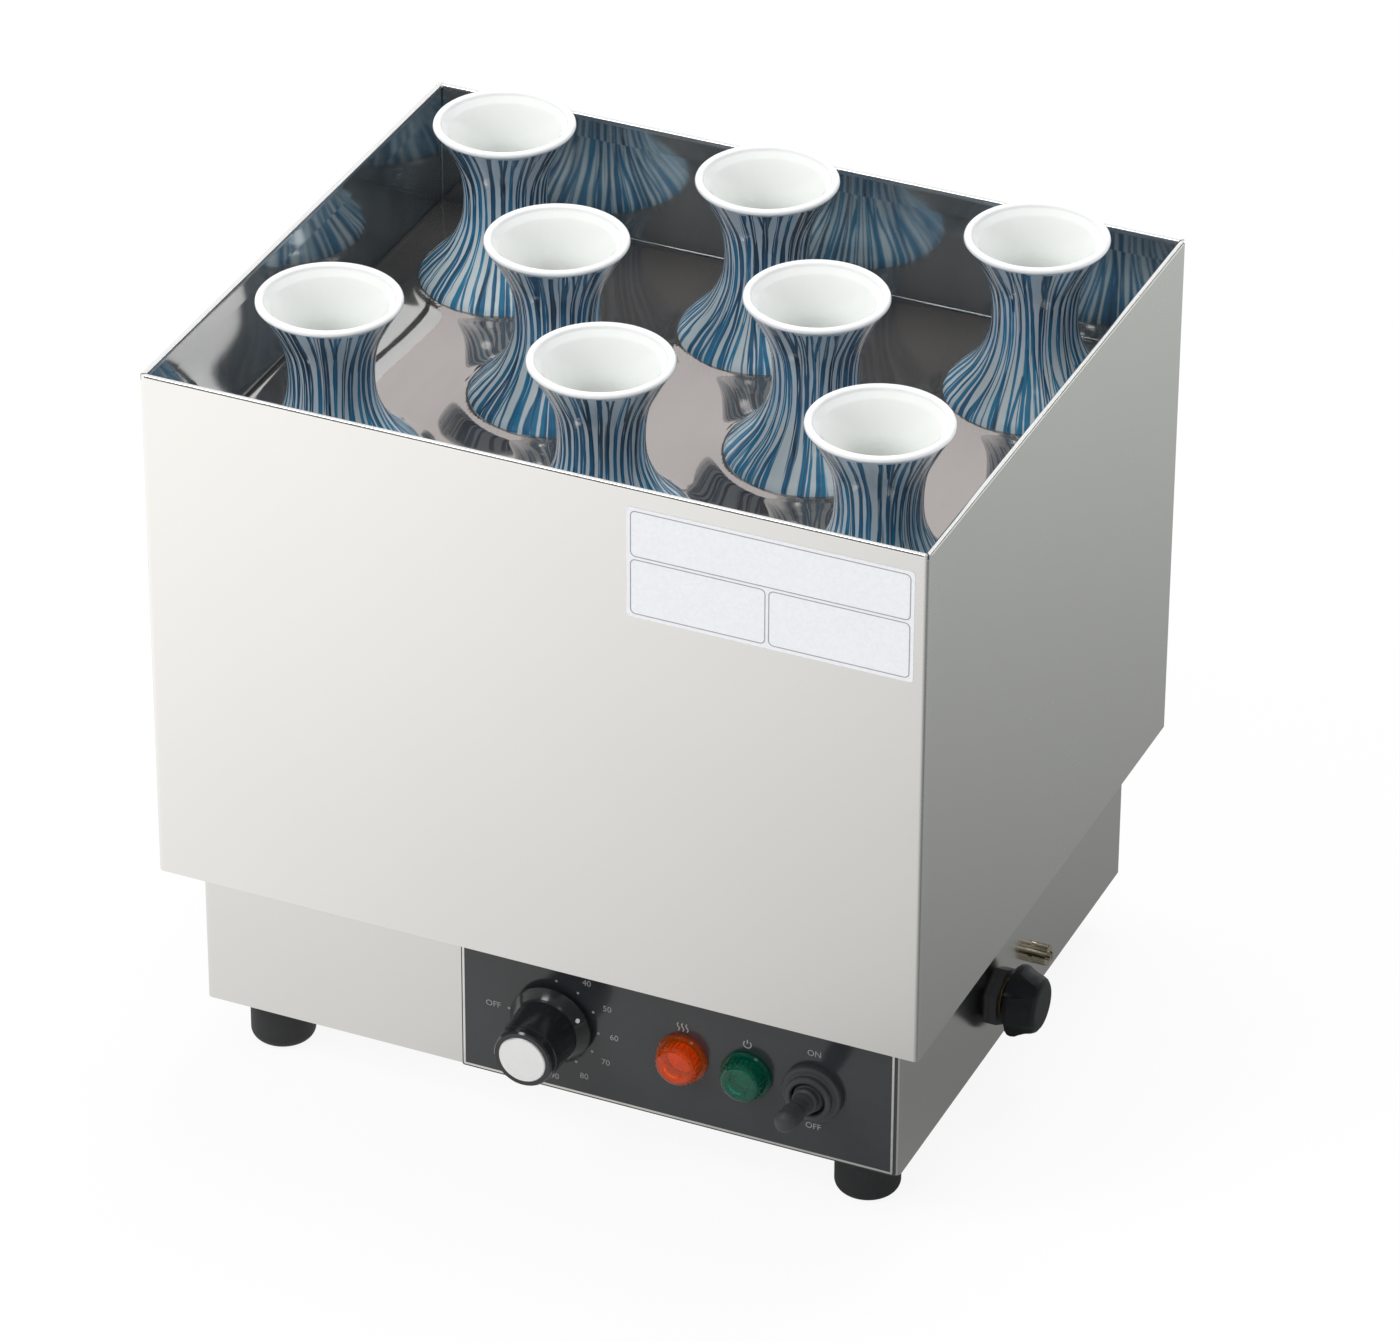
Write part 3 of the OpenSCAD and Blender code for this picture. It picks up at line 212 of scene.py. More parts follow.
def sheet_steel(name, level=0.80, rough=0.30, grain=(0.05, 0.05, 1.0), inside=False):
    """Satin stainless sheet: fine rolling lines, faint cloudiness and wiped smudges.

    inside gives the bath's inner faces their own look: polished, and darker with painted shade,
    most of all below the waterline.
    """
    g = Graph(name)
    lines = g.noise(2600, g.stretched(*grain), 2.0, 0.6)
    clouds = g.noise(9, detail=4.0)
    smudges = g.step(g.noise(22, g.stretched(1, 1, 0.45), 5.0, 0.65), 0.55, 0.78)
    tone = clouds * 0.5 + lines * 0.5
    colour = g.mix(tone, (level * 0.955, level * 0.955, level * 0.94),
                   (level * 1.03, level * 1.025, level * 1.005))
    roughness = rough - 0.03 + lines * 0.05 + smudges * 0.05
    if inside:
        x, y, z = g.parts()
        half_x = (tank_high.x - tank_low.x) / 2 - SHEET / 2
        half_y = (tank_high.y - tank_low.y) / 2 - SHEET / 2
        soft = 0.1 * MM
        within_x = g.step(g.math("ABSOLUTE", x - tank_mid.x), half_x + soft, half_x - soft)
        within_y = g.step(g.math("ABSOLUTE", y - tank_mid.y), half_y + soft, half_y - soft)
        above = g.step(z, tank_low.z + SHEET / 2 - soft, tank_low.z + SHEET / 2 + soft)
        below_rim = g.step(z, tank_high.z - 1.6 * MM, tank_high.z - 2.6 * MM)
        bath = within_x * within_y * above * below_rim
        # Painted shade: inside the bath the steel is made much darker than outside, and darker
        # again below the waterline; the stain noise varies it.
        shade_under_water = g.step(z, WATER_Z + 7 * MM, WATER_Z + 1 * MM)
        stain = g.step(g.noise(30, g.stretched(1, 1, 0.12), 5.0, 0.6), 0.35, 0.75)
        dark = g.mix(stain, (0.43, 0.475, 0.495), (0.52, 0.555, 0.565))
        dark = g.mix(shade_under_water * 0.35, dark, (0.26, 0.29, 0.30))
        colour = g.mix(bath, colour, dark)
        roughness = g.between(bath, roughness, 0.055 + stain * 0.045)
    metal = 1.0 - bath * 0.1 if inside else 1.0
    return g.shader(Base_Color=colour, Metallic=metal, Roughness=roughness,
                    Normal=g.bump(lines, 0.004 * MM, 0.6))


def turned_metal(name, colour, rough=0.2, wear=0.12):
    """Small plated or machined parts: tool marks, and plating dulled in patches."""
    g = Graph(name)
    marks = g.noise(900, g.stretched(1, 1, 0.3), 2.0)
    dull = g.step(g.noise(120, detail=4.0), 0.45, 0.7)
    dark = tuple(c * (1 - wear * 2) for c in colour)
    return g.shader(Base_Color=g.mix(dull, colour, dark), Metallic=1.0,
                    Roughness=rough + marks * 0.08 + dull * wear,
                    Normal=g.bump(marks, 0.01 * MM, 0.5))


def moulded(name, colour, rough=0.35, grain=0.03, level=0.5):
    """Moulded plastic or rubber with a fine grain and a little dust."""
    g = Graph(name)
    fine = g.noise(1500, detail=3.0)
    dust = g.step(g.noise(60, detail=5.0, roughness=0.6), 0.5, 0.8)
    pale = tuple(min(1.0, c * 1.35 + 0.006) for c in colour)
    return g.shader(Base_Color=g.mix(dust * 0.6 + fine * 0.25, colour, pale),
                    Roughness=rough - 0.04 + fine * 0.08 + dust * 0.06,
                    Specular_IOR_Level=level,
                    Normal=g.bump(fine, grain * MM, 0.5))


def lens_plastic(name, colour, deep, painted_glow):
    """Clear coloured cap of a lamp: it bends what lies behind it, thicker in places. Its
    emission is a faint painted glow for light shining through the plastic.
    """
    g = Graph(name)
    flow = g.noise(160, detail=2.0)
    return g.shader(Base_Color=g.mix(flow, colour, deep), Roughness=0.03 + flow * 0.04,
                    Transmission_Weight=0.9, IOR=1.49,
                    Emission_Color=g.mix(flow, deep, colour), Emission_Strength=painted_glow,
                    Normal=g.bump(flow, 0.03 * MM, 0.6))


STRIPES = 34


def flask_glaze(node, seed):
    """White porcelain with hand-painted blue strokes between the lip and the foot.

    Strokes follow the meridians. Each of the STRIPES cells round the flask has one long
    stroke. Shorter ones fill the gaps on the belly and under the lip, and run into a
    neighbour towards the waist. Fine ones and bare slivers lie over both.
    """
    low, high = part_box(node)
    mid = (low + high) / 2
    tall = high.z - low.z
    g = Graph("glaze_" + node)
    px, py, pz = g.parts()
    x, y = px - mid.x, py - mid.y
    up = (pz - low.z) / tall
    angle = g.math("ARCTAN2", y, x) / (2 * math.pi)
    away = g.math("SQRT", x * x + y * y)
    cx, cy = x / away, y / away

    def around(fine, tall_fine, shift, detail=2.0):
        """Noise that closes on itself round the flask."""
        return g.noise(1.0, g.vector(cx * fine, cy * fine, up * tall_fine + seed * shift),
                       detail)

    sway = around(2.4, 3.2, 7.3) - 0.5
    shiver = around(15, 17, 3.1) - 0.5
    swell = around(11, 12, 5.7) - 0.5
    turns = angle * STRIPES + sway * 1.3 + shiver * 0.13
    waist = g.step(g.math("ABSOLUTE", up - 0.83), 0.14, 0.02)
    high_up = g.step(up, 0.815, 0.825)

    def cell_of(value, count=STRIPES):
        whole = g.math("FLOOR", value)
        return g.math("FLOORED_MODULO", whole, float(count)), value - whole - 0.5

    cell, across = cell_of(turns)
    tilt = (g.chance(cell, seed + 0.17) - 0.5) * (up - 0.82) * 3.0
    lean = (g.chance(cell, seed + 0.11) - 0.5) * 0.26 + tilt
    wide = 0.13 + g.chance(cell, seed + 0.23) * 0.11 + waist * 0.10 + swell * 0.16
    gap = g.math("ABSOLUTE", across - lean)
    main = g.step(gap, wide + 0.035, wide - 0.035)

    side_cell, side_across = cell_of(turns + 0.5)
    sign = g.between(high_up, g.math("SIGN", g.chance(side_cell, seed + 0.31) - 0.5),
                     g.math("SIGN", g.chance(side_cell, seed + 0.33) - 0.5))
    leaves_high = g.chance(side_cell, seed + 0.41) * 0.09 + 0.83
    leaves_low = 0.81 - g.chance(side_cell, seed + 0.53) * 0.10
    to_lip = g.step(up, leaves_high + 0.12, leaves_high)
    to_belly = g.step(up, leaves_low - 0.10, leaves_low)
    merged = g.math("MINIMUM", to_lip, to_belly)
    drift = merged * 0.46 * sign
    there = g.between(high_up, g.step(g.chance(side_cell, seed + 0.67), 0.10, 0.11),
                      g.step(g.chance(side_cell, seed + 0.71), 0.38, 0.39))
    thin = 0.10 + g.chance(side_cell, seed + 0.83) * 0.09 + swell * 0.13
    side_gap = g.math("ABSOLUTE", side_across - drift)
    branch = g.step(side_gap, thin + 0.03, thin - 0.03) * there * g.step(merged, 0.999, 0.95)

    fine_cell, fine_across = cell_of(turns * 2.0 + 0.37, 2 * STRIPES)
    fine_lean = (g.chance(fine_cell, seed + 0.47) - 0.5) * (up - 0.72) * 5.0
    fine_there = (g.step(g.chance(fine_cell, seed + 0.59), 0.50, 0.51)
                  * g.step(around(16, 5, 9.1), 0.42, 0.50))
    fine = g.step(g.math("ABSOLUTE", fine_across - fine_lean), 0.17, 0.10) * fine_there

    bare = (g.step(g.math("ABSOLUTE", across - lean * 0.4 - sway * 0.5), 0.055, 0.03)
            * g.step(around(13, 6, 1.9), 0.50, 0.56))
    painted = g.math("MAXIMUM", main, branch)
    painted = painted * (1.0 - bare * 0.85)
    painted = g.math("MAXIMUM", painted, fine * 0.85)
    ragged = g.chance(cell, seed + 0.91) * 1.3 * MM
    start = high.z - 2.2 * MM - ragged
    painted = painted * g.step(pz, start + 0.25 * MM, start - 0.25 * MM)
    painted = painted * g.step(pz, low.z + 3.2 * MM, low.z + 3.8 * MM)
    normal = g.node("ShaderNodeNewGeometry").outputs["Normal"]
    nx, ny, nz = g.parts(normal)
    outward = nx * cx + ny * cy
    outside = g.step(outward, 0.0, 0.08)
    painted = painted * outside

    brush = around(34, 4, 1.0, 3.0)
    wash = around(8, 6, 2.0, 3.0)
    # Painted light and shade: the strokes are made brighter on the belly and darker towards the
    # neck, on top of their random tone.
    painted_belly_light = g.step(up, 0.86, 0.70)
    over = g.math("MINIMUM", main, branch)
    edge = g.step(gap / wide, 0.35, 1.0)
    bright = g.math("ADD", brush * 1.2 + wash * 1.0 - 0.98 + painted_belly_light * 0.50
                    + g.chance(cell, seed + 0.37) * 0.50 - over * 0.5, edge * -0.18,
                    clamp=True)
    blue = g.mix(g.step(bright, 0.0, 0.55), (0.002, 0.024, 0.058), (0.002, 0.096, 0.220))
    blue = g.mix(g.step(bright, 0.45, 1.0), blue, (0.006, 0.195, 0.370))

    pooled = around(6, 9, 4.0, 3.0)
    belly_white = g.mix(pooled, (0.55, 0.64, 0.665), (0.69, 0.76, 0.775))
    # Painted shade: the bare glaze darkens and turns bluer from the belly up towards the neck.
    shaded_waist_white = g.mix(pooled, (0.43, 0.53, 0.62), (0.57, 0.66, 0.73))
    white = g.mix(g.step(up, 0.70, 0.80), belly_white, shaded_waist_white)
    # Painted shade: the inside of the flask is darker the deeper it lies.
    inner = g.mix(g.step(up, 0.60, 1.0), (0.62, 0.655, 0.625), (0.80, 0.82, 0.805))
    body = g.mix(outside, inner, white)
    lip = g.step(pz, high.z - 2.6 * MM, high.z - 1.4 * MM)
    body = g.mix(lip, body, (0.87, 0.88, 0.885))
    colour = g.mix(painted * (0.90 + brush * 0.1), body, blue)
    foot = g.step(pz, low.z + 1.6 * MM, low.z + 1.1 * MM)
    colour = g.mix(foot, colour, g.mix(brush, (0.60, 0.52, 0.42), (0.70, 0.63, 0.53)))
    orange_peel = g.noise(420, detail=2.0)
    round_off = g.node("ShaderNodeBevel", {"Radius": 1.4 * MM}, samples=6)
    return g.shader(Base_Color=colour, IOR=1.5,
                    Roughness=g.between(foot, 0.07 + orange_peel * 0.06, 0.75),
                    Coat_Weight=0.35, Coat_Roughness=0.04,
                    Normal=g.bump(orange_peel + painted * 0.6, 0.03 * MM, 0.5,
                                  round_off.outputs[0]))


def print_ink(name, colour, rough=0.4):
    """Screen-printed ink or foil, slightly uneven."""
    g = Graph(name)
    patch = g.noise(700, detail=3.0)
    pale = tuple(c * 0.86 for c in colour)
    return g.shader(Base_Color=g.mix(patch, colour, pale), Roughness=rough + patch * 0.12)


def panel_print():
    """Dark glossy face of the control panel, with a faint orange-peel."""
    g = Graph("dark_panel")
    fine = g.noise(1200, detail=3.0)
    broad = g.noise(40, detail=4.0)
    return g.shader(Base_Color=g.mix(broad * 0.6 + fine * 0.3, (0.018, 0.020, 0.023),
                                     (0.034, 0.037, 0.041)),
                    Roughness=0.12 + fine * 0.06, Specular_IOR_Level=0.62,
                    Normal=g.bump(fine, 0.004 * MM, 0.5))


def spun_cap():
    """Aluminium disc in the knob's end, with fine turning rings."""
    axis = middle("knob")
    g = Graph("aluminium_cap")
    x, y, z = g.parts()
    dx, dz = x - axis.x, z - axis.z
    away = g.math("SQRT", dx * dx + dz * dz)
    rings = g.math("SINE", away * 14000.0) * 0.5 + 0.5
    cloud = g.noise(300, detail=3.0)
    return g.shader(Base_Color=g.mix(rings * 0.5 + cloud * 0.5, (0.80, 0.81, 0.82),
                                     (0.90, 0.905, 0.91)),
                    Metallic=0.75, Roughness=0.34 + rings * 0.08,
                    Normal=g.bump(rings, 0.004 * MM, 0.6))


def water_look():
    """Still hot water over dark steel: mirror-like, faintly clouded and rippled."""
    g = Graph("bath_water")
    long_waves = g.noise(26, g.stretched(1.0, 0.35, 1), 2.0, 0.4)
    short_waves = g.noise(150, g.stretched(1.0, 0.5, 1), 2.0, 0.5)
    haze = g.noise(14, detail=3.0)
    streaks = g.noise(120, g.stretched(1.0, 0.12, 1), 2.0)
    return g.shader(Base_Color=g.mix(haze * 0.6 + streaks * 0.4, (0.33, 0.305, 0.29),
                                     (0.43, 0.395, 0.375)),
                    Metallic=0.86, Roughness=0.025 + haze * 0.02, Alpha=0.92, IOR=1.33,
                    Normal=g.bump(long_waves + short_waves * 0.25, 0.06 * MM, 0.5))


LOOKS = {
    "tank": sheet_steel("bath_steel", 0.78, 0.25, inside=True),
    "base": sheet_steel("base_steel", 0.72, 0.17),
    "shelf": sheet_steel("shelf_steel", 0.62, 0.26, (1, 0.05, 0.05)),
    "sheath": turned_metal("sheath_steel", (0.30, 0.29, 0.28), 0.38),
    "zinc": turned_metal("zinc_steel", (0.62, 0.63, 0.66), 0.24),
    "nickel": turned_metal("nickel_plate", (0.74, 0.71, 0.65), 0.16),
    "brass": turned_metal("copper_brass", (0.66, 0.47, 0.20), 0.22),
    "rubber": moulded("black_rubber", (0.022, 0.023, 0.025), 0.62, 0.04, 0.35),
    "boot": moulded("switch_rubber", (0.040, 0.042, 0.045), 0.50, 0.05, 0.45),
    "gloss": moulded("black_plastic", (0.012, 0.013, 0.015), 0.15, 0.006, 0.6),
    "grip": moulded("grip_plastic", (0.006, 0.007, 0.009), 0.40, 0.02, 0.35),
    "plastic": moulded("dark_plastic", (0.030, 0.031, 0.034), 0.42, 0.02),
    "cream": moulded("cream_plastic", (0.72, 0.67, 0.55), 0.38, 0.02),
    # The last number of each lens is the strength of its painted glow.
    "amber": lens_plastic("amber_lens", (0.98, 0.21, 0.006), (0.80, 0.07, 0.002), 0.07),
    "green": lens_plastic("green_lens", (0.002, 0.46, 0.28), (0.001, 0.20, 0.13), 0.02),
    "panel": panel_print(),
    "cap": spun_cap(),
    "white": print_ink("white_mark", (0.70, 0.70, 0.69)),
    "ink": print_ink("grey_ink", (0.29, 0.29, 0.29)),
    "terminal": turned_metal("plated_terminal", (0.62, 0.55, 0.42), 0.14),
}

WORN = {
    "tank": "tank", "tank_studs": "base", "shelf": "shelf", "shelf_legs": "shelf",
    "heater_supports": "shelf", "bulb_clip": "shelf", "base_front": "base",
    "base_back": "base", "base_left": "base", "base_right": "base", "base_floor": "base",
    "heater": "sheath", "heater_nuts": "nickel",
    "floor_screws": "zinc", "tank_nuts": "zinc", "foot_screws": "zinc", "foot_nuts": "zinc",
    "thermostat_screws": "zinc", "lamp_nuts": "zinc", "thermostat_shaft": "nickel",
    "drain_pipe": "nickel", "cock_ball": "nickel", "earth_terminal": "terminal",
    "terminal_screws": "nickel", "sensing_bulb": "brass", "capillary_gland": "brass",
    "cock_body": "brass", "heater_gaskets": "rubber", "foot_front_left": "rubber",
    "foot_front_right": "rubber", "foot_back_left": "rubber", "foot_back_right": "rubber",
    "cord_bushing": "rubber", "switch_seal": "boot", "switch_lever": "boot",
    "knob": "gloss", "cock_handle": "grip", "thermostat_body": "plastic",
    "switch_body": "plastic", "cock_nut": "plastic", "heater_lamp_body": "cream",
    "power_lamp_body": "cream", "terminal_block": "cream", "heater_lamp_lens": "amber",
    "power_lamp_lens": "green", "control_panel": "panel", "knob_cap": "cap",
    "knob_marker": "white",
}


def dress(piece, material):
    piece.data.materials.clear()
    piece.data.materials.append(material)


flasks = sorted(name for name in nodes if name.startswith("flask_"))
for name, look in WORN.items():
    if name in nodes:
        dress(nodes[name], LOOKS[look])
for seed, name in enumerate(flasks):
    dress(nodes[name], flask_glaze(name, seed + 1.0))


# ---------------------------------------------------------------- pieces made here

def new_piece(name, mesh_maker, material, body, smooth=False):
    """A mesh piece of the object, made by mesh_maker from an empty bmesh."""
    bm = bmesh.new()
    mesh_maker(bm)
    bmesh.ops.recalc_face_normals(bm, faces=bm.faces)
    mesh = bpy.data.meshes.new(name)
    bm.to_mesh(mesh)
    bm.free()
    for face in mesh.polygons:
        face.use_smooth = smooth
    mesh.materials.append(material)
    piece = bpy.data.objects.new(name, mesh)
    scene.collection.objects.link(piece)
    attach(piece, body)
    return piece


BODY = "warmer"
panel_low, panel_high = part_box("control_panel")
PANEL_Y = panel_low.y
INK = 0.06 * MM


def rounded_loop(x0, z0, x1, z1, r, steps=6):
    """Corner-rounded rectangle in the XZ plane, as a list of points."""
    points = []
    corners = ((x1 - r, z1 - r, 0), (x0 + r, z1 - r, 90), (x0 + r, z0 + r, 180),
               (x1 - r, z0 + r, 270))
    for cx, cz, start in corners:
        for i in range(steps + 1):
            a = math.radians(start + 90 * i / steps)
            points.append((cx + r * math.cos(a), cz + r * math.sin(a)))
    return points


def raise_face(bm, y, outer, inner=None, thick=INK):
    """A thin raised shape facing -Y on the plane at y: a closed loop or the band between two."""
    def ring(points, depth):
        return [bm.verts.new((x, depth, z)) for x, z in points]

    front, back = ring(outer, y - thick), ring(outer, y)
    count = len(outer)
    pairs = [(i, (i + 1) % count) for i in range(count)]
    for i, j in pairs:
        bm.faces.new((front[i], front[j], back[j], back[i]))
    if inner is None:
        bm.faces.new(front)
        bm.faces.new(back)
        return
    front_in, back_in = ring(inner, y - thick), ring(inner, y)
    for i, j in pairs:
        bm.faces.new((front_in[i], front_in[j], back_in[j], back_in[i]))
        bm.faces.new((front[i], front[j], front_in[j], front_in[i]))
        bm.faces.new((back[i], back[j], back_in[j], back_in[i]))


def add_frame(bm, y, x0, z0, x1, z1, r, width, thick=INK):
    raise_face(bm, y, rounded_loop(x0, z0, x1, z1, r),
               rounded_loop(x0 + width, z0 + width, x1 - width, z1 - width,
                            max(r - width, 0.05 * MM)), thick)


def add_text(bm, words, x, y, z, tall):
    """Raised lettering facing -Y, centred on x and z, with capitals tall high."""
    curve = bpy.data.curves.new("words", "FONT")
    curve.body = words
    curve.extrude = 0.5
    curve.resolution_u = 4
    holder = bpy.data.objects.new("words", curve)
    scene.collection.objects.link(holder)
    graph = bpy.context.evaluated_depsgraph_get()
    mesh = bpy.data.meshes.new_from_object(holder.evaluated_get(graph))
    low = Vector([min(v.co[i] for v in mesh.vertices) for i in range(3)])
    high = Vector([max(v.co[i] for v in mesh.vertices) for i in range(3)])
    centre = (low + high) / 2
    size = tall / (high.y - low.y)
    for v in mesh.vertices:
        flat = (v.co - centre) * size
        v.co = (x + flat.x, y - INK / 2 - (v.co.z - centre.z) * INK, z + flat.y)
    bm.from_mesh(mesh)
    bpy.data.objects.remove(holder)
    bpy.data.curves.remove(curve)
    bpy.data.meshes.remove(mesh)


def add_dot(bm, x, y, z, r, steps=20):
    raise_face(bm, y, [(x + r * math.cos(2 * math.pi * i / steps),
                        z + r * math.sin(2 * math.pi * i / steps)) for i in range(steps)])


def add_stroke(bm, y, points, width):
    """A painted line of even width along points, with its two ends cut square."""
    left, right = [], []
    for i, (x, z) in enumerate(points):
        a, b = points[max(i - 1, 0)], points[min(i + 1, len(points) - 1)]
        dx, dz = b[0] - a[0], b[1] - a[1]
        size = math.hypot(dx, dz)
        nx, nz = -dz / size * width / 2, dx / size * width / 2
        left.append((x + nx, z + nz))
        right.append((x - nx, z - nz))
    front_left = [bm.verts.new((x, y - INK, z)) for x, z in left]
    front_right = [bm.verts.new((x, y - INK, z)) for x, z in right]
    back_left = [bm.verts.new((x, y, z)) for x, z in left]
    back_right = [bm.verts.new((x, y, z)) for x, z in right]
    for i in range(len(points) - 1):
        for a, b in ((front_left, front_right), (front_right, back_right),
                     (back_right, back_left), (back_left, front_left)):
            bm.faces.new((a[i], a[i + 1], b[i + 1], b[i]))
    for i in (0, -1):
        bm.faces.new((front_left[i], front_right[i], back_right[i], back_left[i]))


knob_at = middle("knob")
heat_at = middle("heater_lamp_lens")
power_at = middle("power_lamp_lens")
switch_at = middle("switch_seal")

# Each mark's angle round the knob, in degrees from the right, and its words
OFF_ANGLE, FIRST_ANGLE, MARK_STEP = 178, 86, 29.2
DIAL = [(OFF_ANGLE, "OFF")] + [(FIRST_ANGLE - MARK_STEP * i, str(30 + 10 * i))
                               for i in range(7)]
DOT_RING, DOT_R = 19.0 * MM, 0.55 * MM
WORDS_RING = 25.7 * MM
WORDS_TALL = 2.6 * MM
ON_ABOVE, OFF_BELOW = 17.4 * MM, 16.2 * MM
SIGN_ABOVE = 14.0 * MM
SIGN_LINE = 0.5 * MM


def dial_marks(bm):
    for angle, words in DIAL:
        a = math.radians(angle)
        add_dot(bm, knob_at.x + DOT_RING * math.cos(a), PANEL_Y,
                knob_at.z + DOT_RING * math.sin(a), DOT_R)
        add_text(bm, words, knob_at.x + WORDS_RING * math.cos(a), PANEL_Y,
                 knob_at.z + WORDS_RING * math.sin(a), WORDS_TALL)


def switch_words(bm):
    add_text(bm, "ON", switch_at.x, PANEL_Y, switch_at.z + ON_ABOVE, WORDS_TALL)
    add_text(bm, "OFF", switch_at.x, PANEL_Y, switch_at.z - OFF_BELOW, WORDS_TALL)


def lamp_signs(bm):
    """Three heat waves over the heater lamp; a broken ring and bar over the power lamp."""
    z = heat_at.z + SIGN_ABOVE
    for shift in (-1.8, 0, 1.8):
        add_stroke(bm, PANEL_Y, [
            (heat_at.x + (shift + 0.45 * math.sin(2 * math.pi * i / 12)) * MM,
             z + (i - 6) * 0.3 * MM) for i in range(13)], SIGN_LINE)
    add_stroke(bm, PANEL_Y, [
        (power_at.x + 1.6 * MM * math.sin(math.radians(a)),
         z - 0.2 * MM + 1.6 * MM * math.cos(math.radians(a))) for a in range(40, 321, 14)],
        SIGN_LINE)
    add_stroke(bm, PANEL_Y, [(power_at.x, z + 0.1 * MM), (power_at.x, z + 1.9 * MM)],
               SIGN_LINE)


def silver_border(bm):
    add_frame(bm, PANEL_Y, panel_low.x + 0.5 * MM, panel_low.z + 0.6 * MM,
              panel_high.x - 1.0 * MM, panel_high.z - 0.8 * MM, 0.5 * MM, 0.9 * MM)


for piece_name, maker in (("dial_print", dial_marks), ("switch_print", switch_words),
                          ("lamp_print", lamp_signs)):
    new_piece(piece_name, maker, LOOKS["ink"], BODY)
foil = turned_metal("silver_foil", (0.78, 0.77, 0.75), 0.28, 0.05)
new_piece("panel_border", silver_border, foil, BODY)


# Bare sticker on the tank's front, with three empty ruled boxes
STICKER = dict(x0=tank_mid.x + 40.4 * MM, x1=tank_mid.x + 154.7 * MM,
               z0=tank_high.z - 55 * MM, z1=tank_high.z - 8 * MM)
STICKER_T = 0.12 * MM


def sticker_sheet(bm):
    s = STICKER
    raise_face(bm, tank_low.y, rounded_loop(s["x0"], s["z0"], s["x1"], s["z1"], 1.6 * MM),
               thick=STICKER_T)


def sticker_rules(bm):
    s = STICKER
    edge, line, r = 1.4 * MM, 0.42 * MM, 2.2 * MM
    wide, tall = s["x1"] - s["x0"] - 2 * edge, s["z1"] - s["z0"] - 2 * edge
    x0, z0 = s["x0"] + edge, s["z0"] + edge
    y = tank_low.y - STICKER_T
    split = z0 + tall * 0.545
    add_frame(bm, y, x0, split + 0.5 * MM, x0 + wide, z0 + tall, r, line, 0.03 * MM)
    add_frame(bm, y, x0, z0, x0 + wide * 0.487, split - 0.5 * MM, r, line, 0.03 * MM)
    add_frame(bm, y, x0 + wide * 0.497, z0, x0 + wide, split - 0.5 * MM, r, line, 0.03 * MM)


paper = print_ink("sticker_film", (0.83, 0.85, 0.88), 0.3)
rule_ink = print_ink("rule_ink", (0.33, 0.33, 0.36), 0.4)
new_piece("front_sticker", sticker_sheet, paper, BODY)
new_piece("sticker_rules", sticker_rules, rule_ink, BODY)


WATER_CLEAR = 0.25 * MM
WATER_DEPTH = 2.5 * MM
WATER_STEP = 1.6 * MM
WALL_LIFT, WALL_FADE = 0.5 * MM, 1.2 * MM
FLASK_LIFT, FLASK_FADE = 0.8 * MM, 1.4 * MM
WAVE = 0.035 * MM


def water_surface(bm):
    """The bath's water: a thin sheet that climbs a little at the walls and the flasks."""
    clear = WATER_CLEAR
    x0, x1 = tank_low.x + SHEET + clear, tank_high.x - SHEET - clear
    y0, y1 = tank_low.y + SHEET + clear, tank_high.y - SHEET - clear
    rings = []
    for name in flasks:
        low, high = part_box(name)
        near = [v.co for v in nodes[name].data.vertices if abs(v.co.z - WATER_Z) < 4 * MM]
        mid = (low + high) / 2
        r = max(math.hypot(c.x - mid.x, c.y - mid.y) for c in near)
        rings.append((mid.x, mid.y, r))
    nx, ny = round((x1 - x0) / WATER_STEP), round((y1 - y0) / WATER_STEP)
    rows = []
    for j in range(ny + 1):
        row = []
        for i in range(nx + 1):
            x, y = x0 + (x1 - x0) * i / nx, y0 + (y1 - y0) * j / ny
            wall = min(x - x0, x1 - x, y - y0, y1 - y)
            lift = WALL_LIFT * math.exp(-wall / WALL_FADE)
            for cx, cy, r in rings:
                gap = abs(math.hypot(x - cx, y - cy) - r)
                if gap < 12 * MM:
                    lift += FLASK_LIFT * math.exp(-gap / FLASK_FADE)
            wave = WAVE * (math.sin(x * 120 + y * 46) + math.sin(y * 95 - x * 38 + 1.3))
            row.append((x, y, WATER_Z + lift + wave))
        rows.append(row)
    top = [[bm.verts.new(p) for p in row] for row in rows]
    deep = WATER_Z - WATER_DEPTH
    under = [[bm.verts.new((p[0], p[1], deep)) for p in row] for row in rows]
    for grid in (top, under):
        for j in range(ny):
            for i in range(nx):
                bm.faces.new((grid[j][i], grid[j][i + 1], grid[j + 1][i + 1], grid[j + 1][i]))
    rim = ([(0, i) for i in range(nx)] + [(j, nx) for j in range(ny)]
           + [(ny, i) for i in range(nx, 0, -1)] + [(j, 0) for j in range(ny, 0, -1)])
    for a, b in zip(rim, rim[1:] + rim[:1]):
        bm.faces.new((top[a[0]][a[1]], top[b[0]][b[1]], under[b[0]][b[1]], under[a[0]][a[1]]))


new_piece("bath_water", water_surface, water_look(), BODY, smooth=True)


# ---------------------------------------------------------------- studio

def background_share(g, camera, glossy, transmission):
    """How much of the plain background a ray sees, by what kind of ray it is."""
    path = g.node("ShaderNodeLightPath")
    rays = [Number(g, path.outputs[name]) for name in
            ("Is Camera Ray", "Is Glossy Ray", "Is Transmission Ray")]
    return rays[0] * camera + rays[1] * glossy + rays[2] * transmission, rays


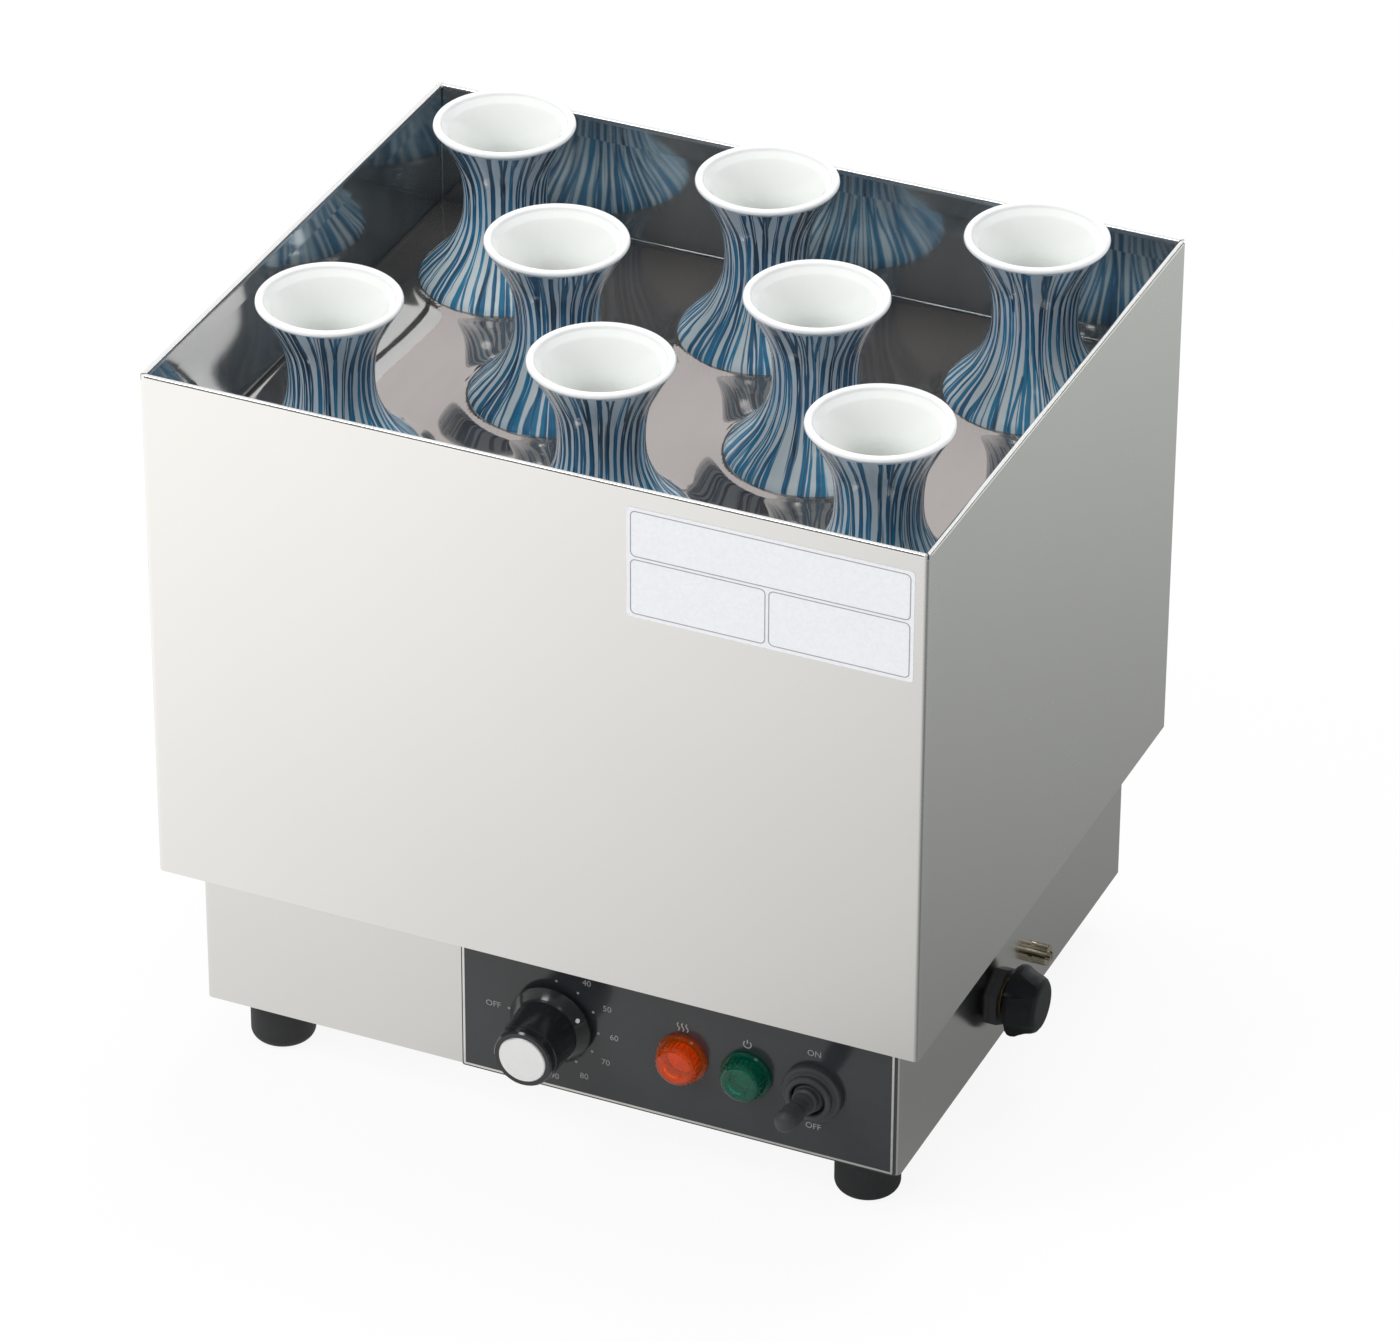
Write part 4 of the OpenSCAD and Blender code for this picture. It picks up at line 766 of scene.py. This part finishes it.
def make_floor():
    """Pale floor, white to the camera apart from the object's shadow.

    In reflections it darkens towards the back right, where the studio has less light.
    """
    g = Graph("floor")
    x, y, z = g.parts()
    share, rays = background_share(g, 0.90, 0.95, 0.9)
    front = g.math("MINIMUM", 0.725 - x * 1.05 - y * 0.23, 1.26)
    right = g.math("MAXIMUM", 0.13 + (x + y) * 0.38, 0.12)
    behind = g.step(x + y, -0.25, 0.20)
    fall = g.between(behind, front, right)
    level = g.between(rays[0], fall, 1.0)
    lit = g.node("ShaderNodeBsdfDiffuse", {"Color": (0.92, 0.92, 0.92)})
    tint = g.mix(behind, (1.0, 0.988, 0.965), (0.975, 1.0, 0.965))
    tint = g.mix(rays[0], tint, (1.0, 1.0, 1.0))
    plain = g.node("ShaderNodeEmission", {"Color": tint, "Strength": level})
    both = g.node("ShaderNodeMixShader", {0: share})
    g.tree.links.new(lit.outputs[0], both.inputs[1])
    g.tree.links.new(plain.outputs[0], both.inputs[2])
    g.tree.links.new(both.outputs[0], g.out.inputs["Surface"])
    bm = bmesh.new()
    bmesh.ops.create_grid(bm, x_segments=4, y_segments=4, size=6)
    mesh = bpy.data.meshes.new("floor")
    bm.to_mesh(mesh)
    bm.free()
    mesh.materials.append(g.material)
    floor = bpy.data.objects.new("floor", mesh)
    scene.collection.objects.link(floor)


def make_world():
    """White to the camera, plain to matt surfaces, and a studio to polished ones.

    The studio is dark but for a pale wall behind on the left and soft boxes overhead.
    """
    world = bpy.data.worlds.new("studio")
    world.use_nodes = True
    g = Graph.__new__(Graph)
    g.tree = world.node_tree
    g.tree.nodes.clear()
    out = g.tree.nodes.new("ShaderNodeOutputWorld")
    x, y, z = g.parts(g.node("ShaderNodeTexCoord").outputs["Generated"])
    wall = g.step(y, 0.0, 0.5) * g.step(x, 0.30, 0.0)
    overhead = g.step(z, 0.72, 0.97)

    def box(at, wide):
        near = x * at[0] + y * at[1] + z * at[2]
        return g.step(near, math.cos(math.radians(wide + 3)), math.cos(math.radians(wide - 3)))

    studio = (0.17 + wall * 1.03 + overhead * 0.26 + box((-0.38, -0.28, 0.88), 8) * 9.0
              + box((0.30, -0.62, 0.725), 5) * 1.6 + box((0.34, 0.776, 0.53), 6) * 3.0)
    path = g.node("ShaderNodeLightPath")
    level = g.between(path.outputs["Is Glossy Ray"], 0.62, studio)
    level = g.between(path.outputs["Is Camera Ray"], level, 1.0)
    sky = g.node("ShaderNodeBackground", {"Color": (0.985, 0.99, 1.0), "Strength": level})
    g.tree.links.new(sky.outputs[0], out.inputs["Surface"])
    scene.world = world


def make_lamp(name, at, aim, size, power, colour=(1, 1, 1)):
    data = bpy.data.lights.new(name, "AREA")
    data.shape = "SQUARE"
    data.size = size
    data.energy = power
    data.color = colour
    lamp = bpy.data.objects.new(name, data)
    lamp.location = at
    lamp.rotation_euler = (Vector(aim) - Vector(at)).to_track_quat("-Z", "Y").to_euler()
    lamp.visible_glossy = False
    scene.collection.objects.link(lamp)


make_floor()
make_world()
make_lamp("key", (-1.5, -1.9, 2.3), (0, 0, 0.15), 1.6, 46, (1, 0.985, 0.96))
make_lamp("top", (0.1, 0.7, 2.5), (0, 0, 0.2), 1.4, 32)
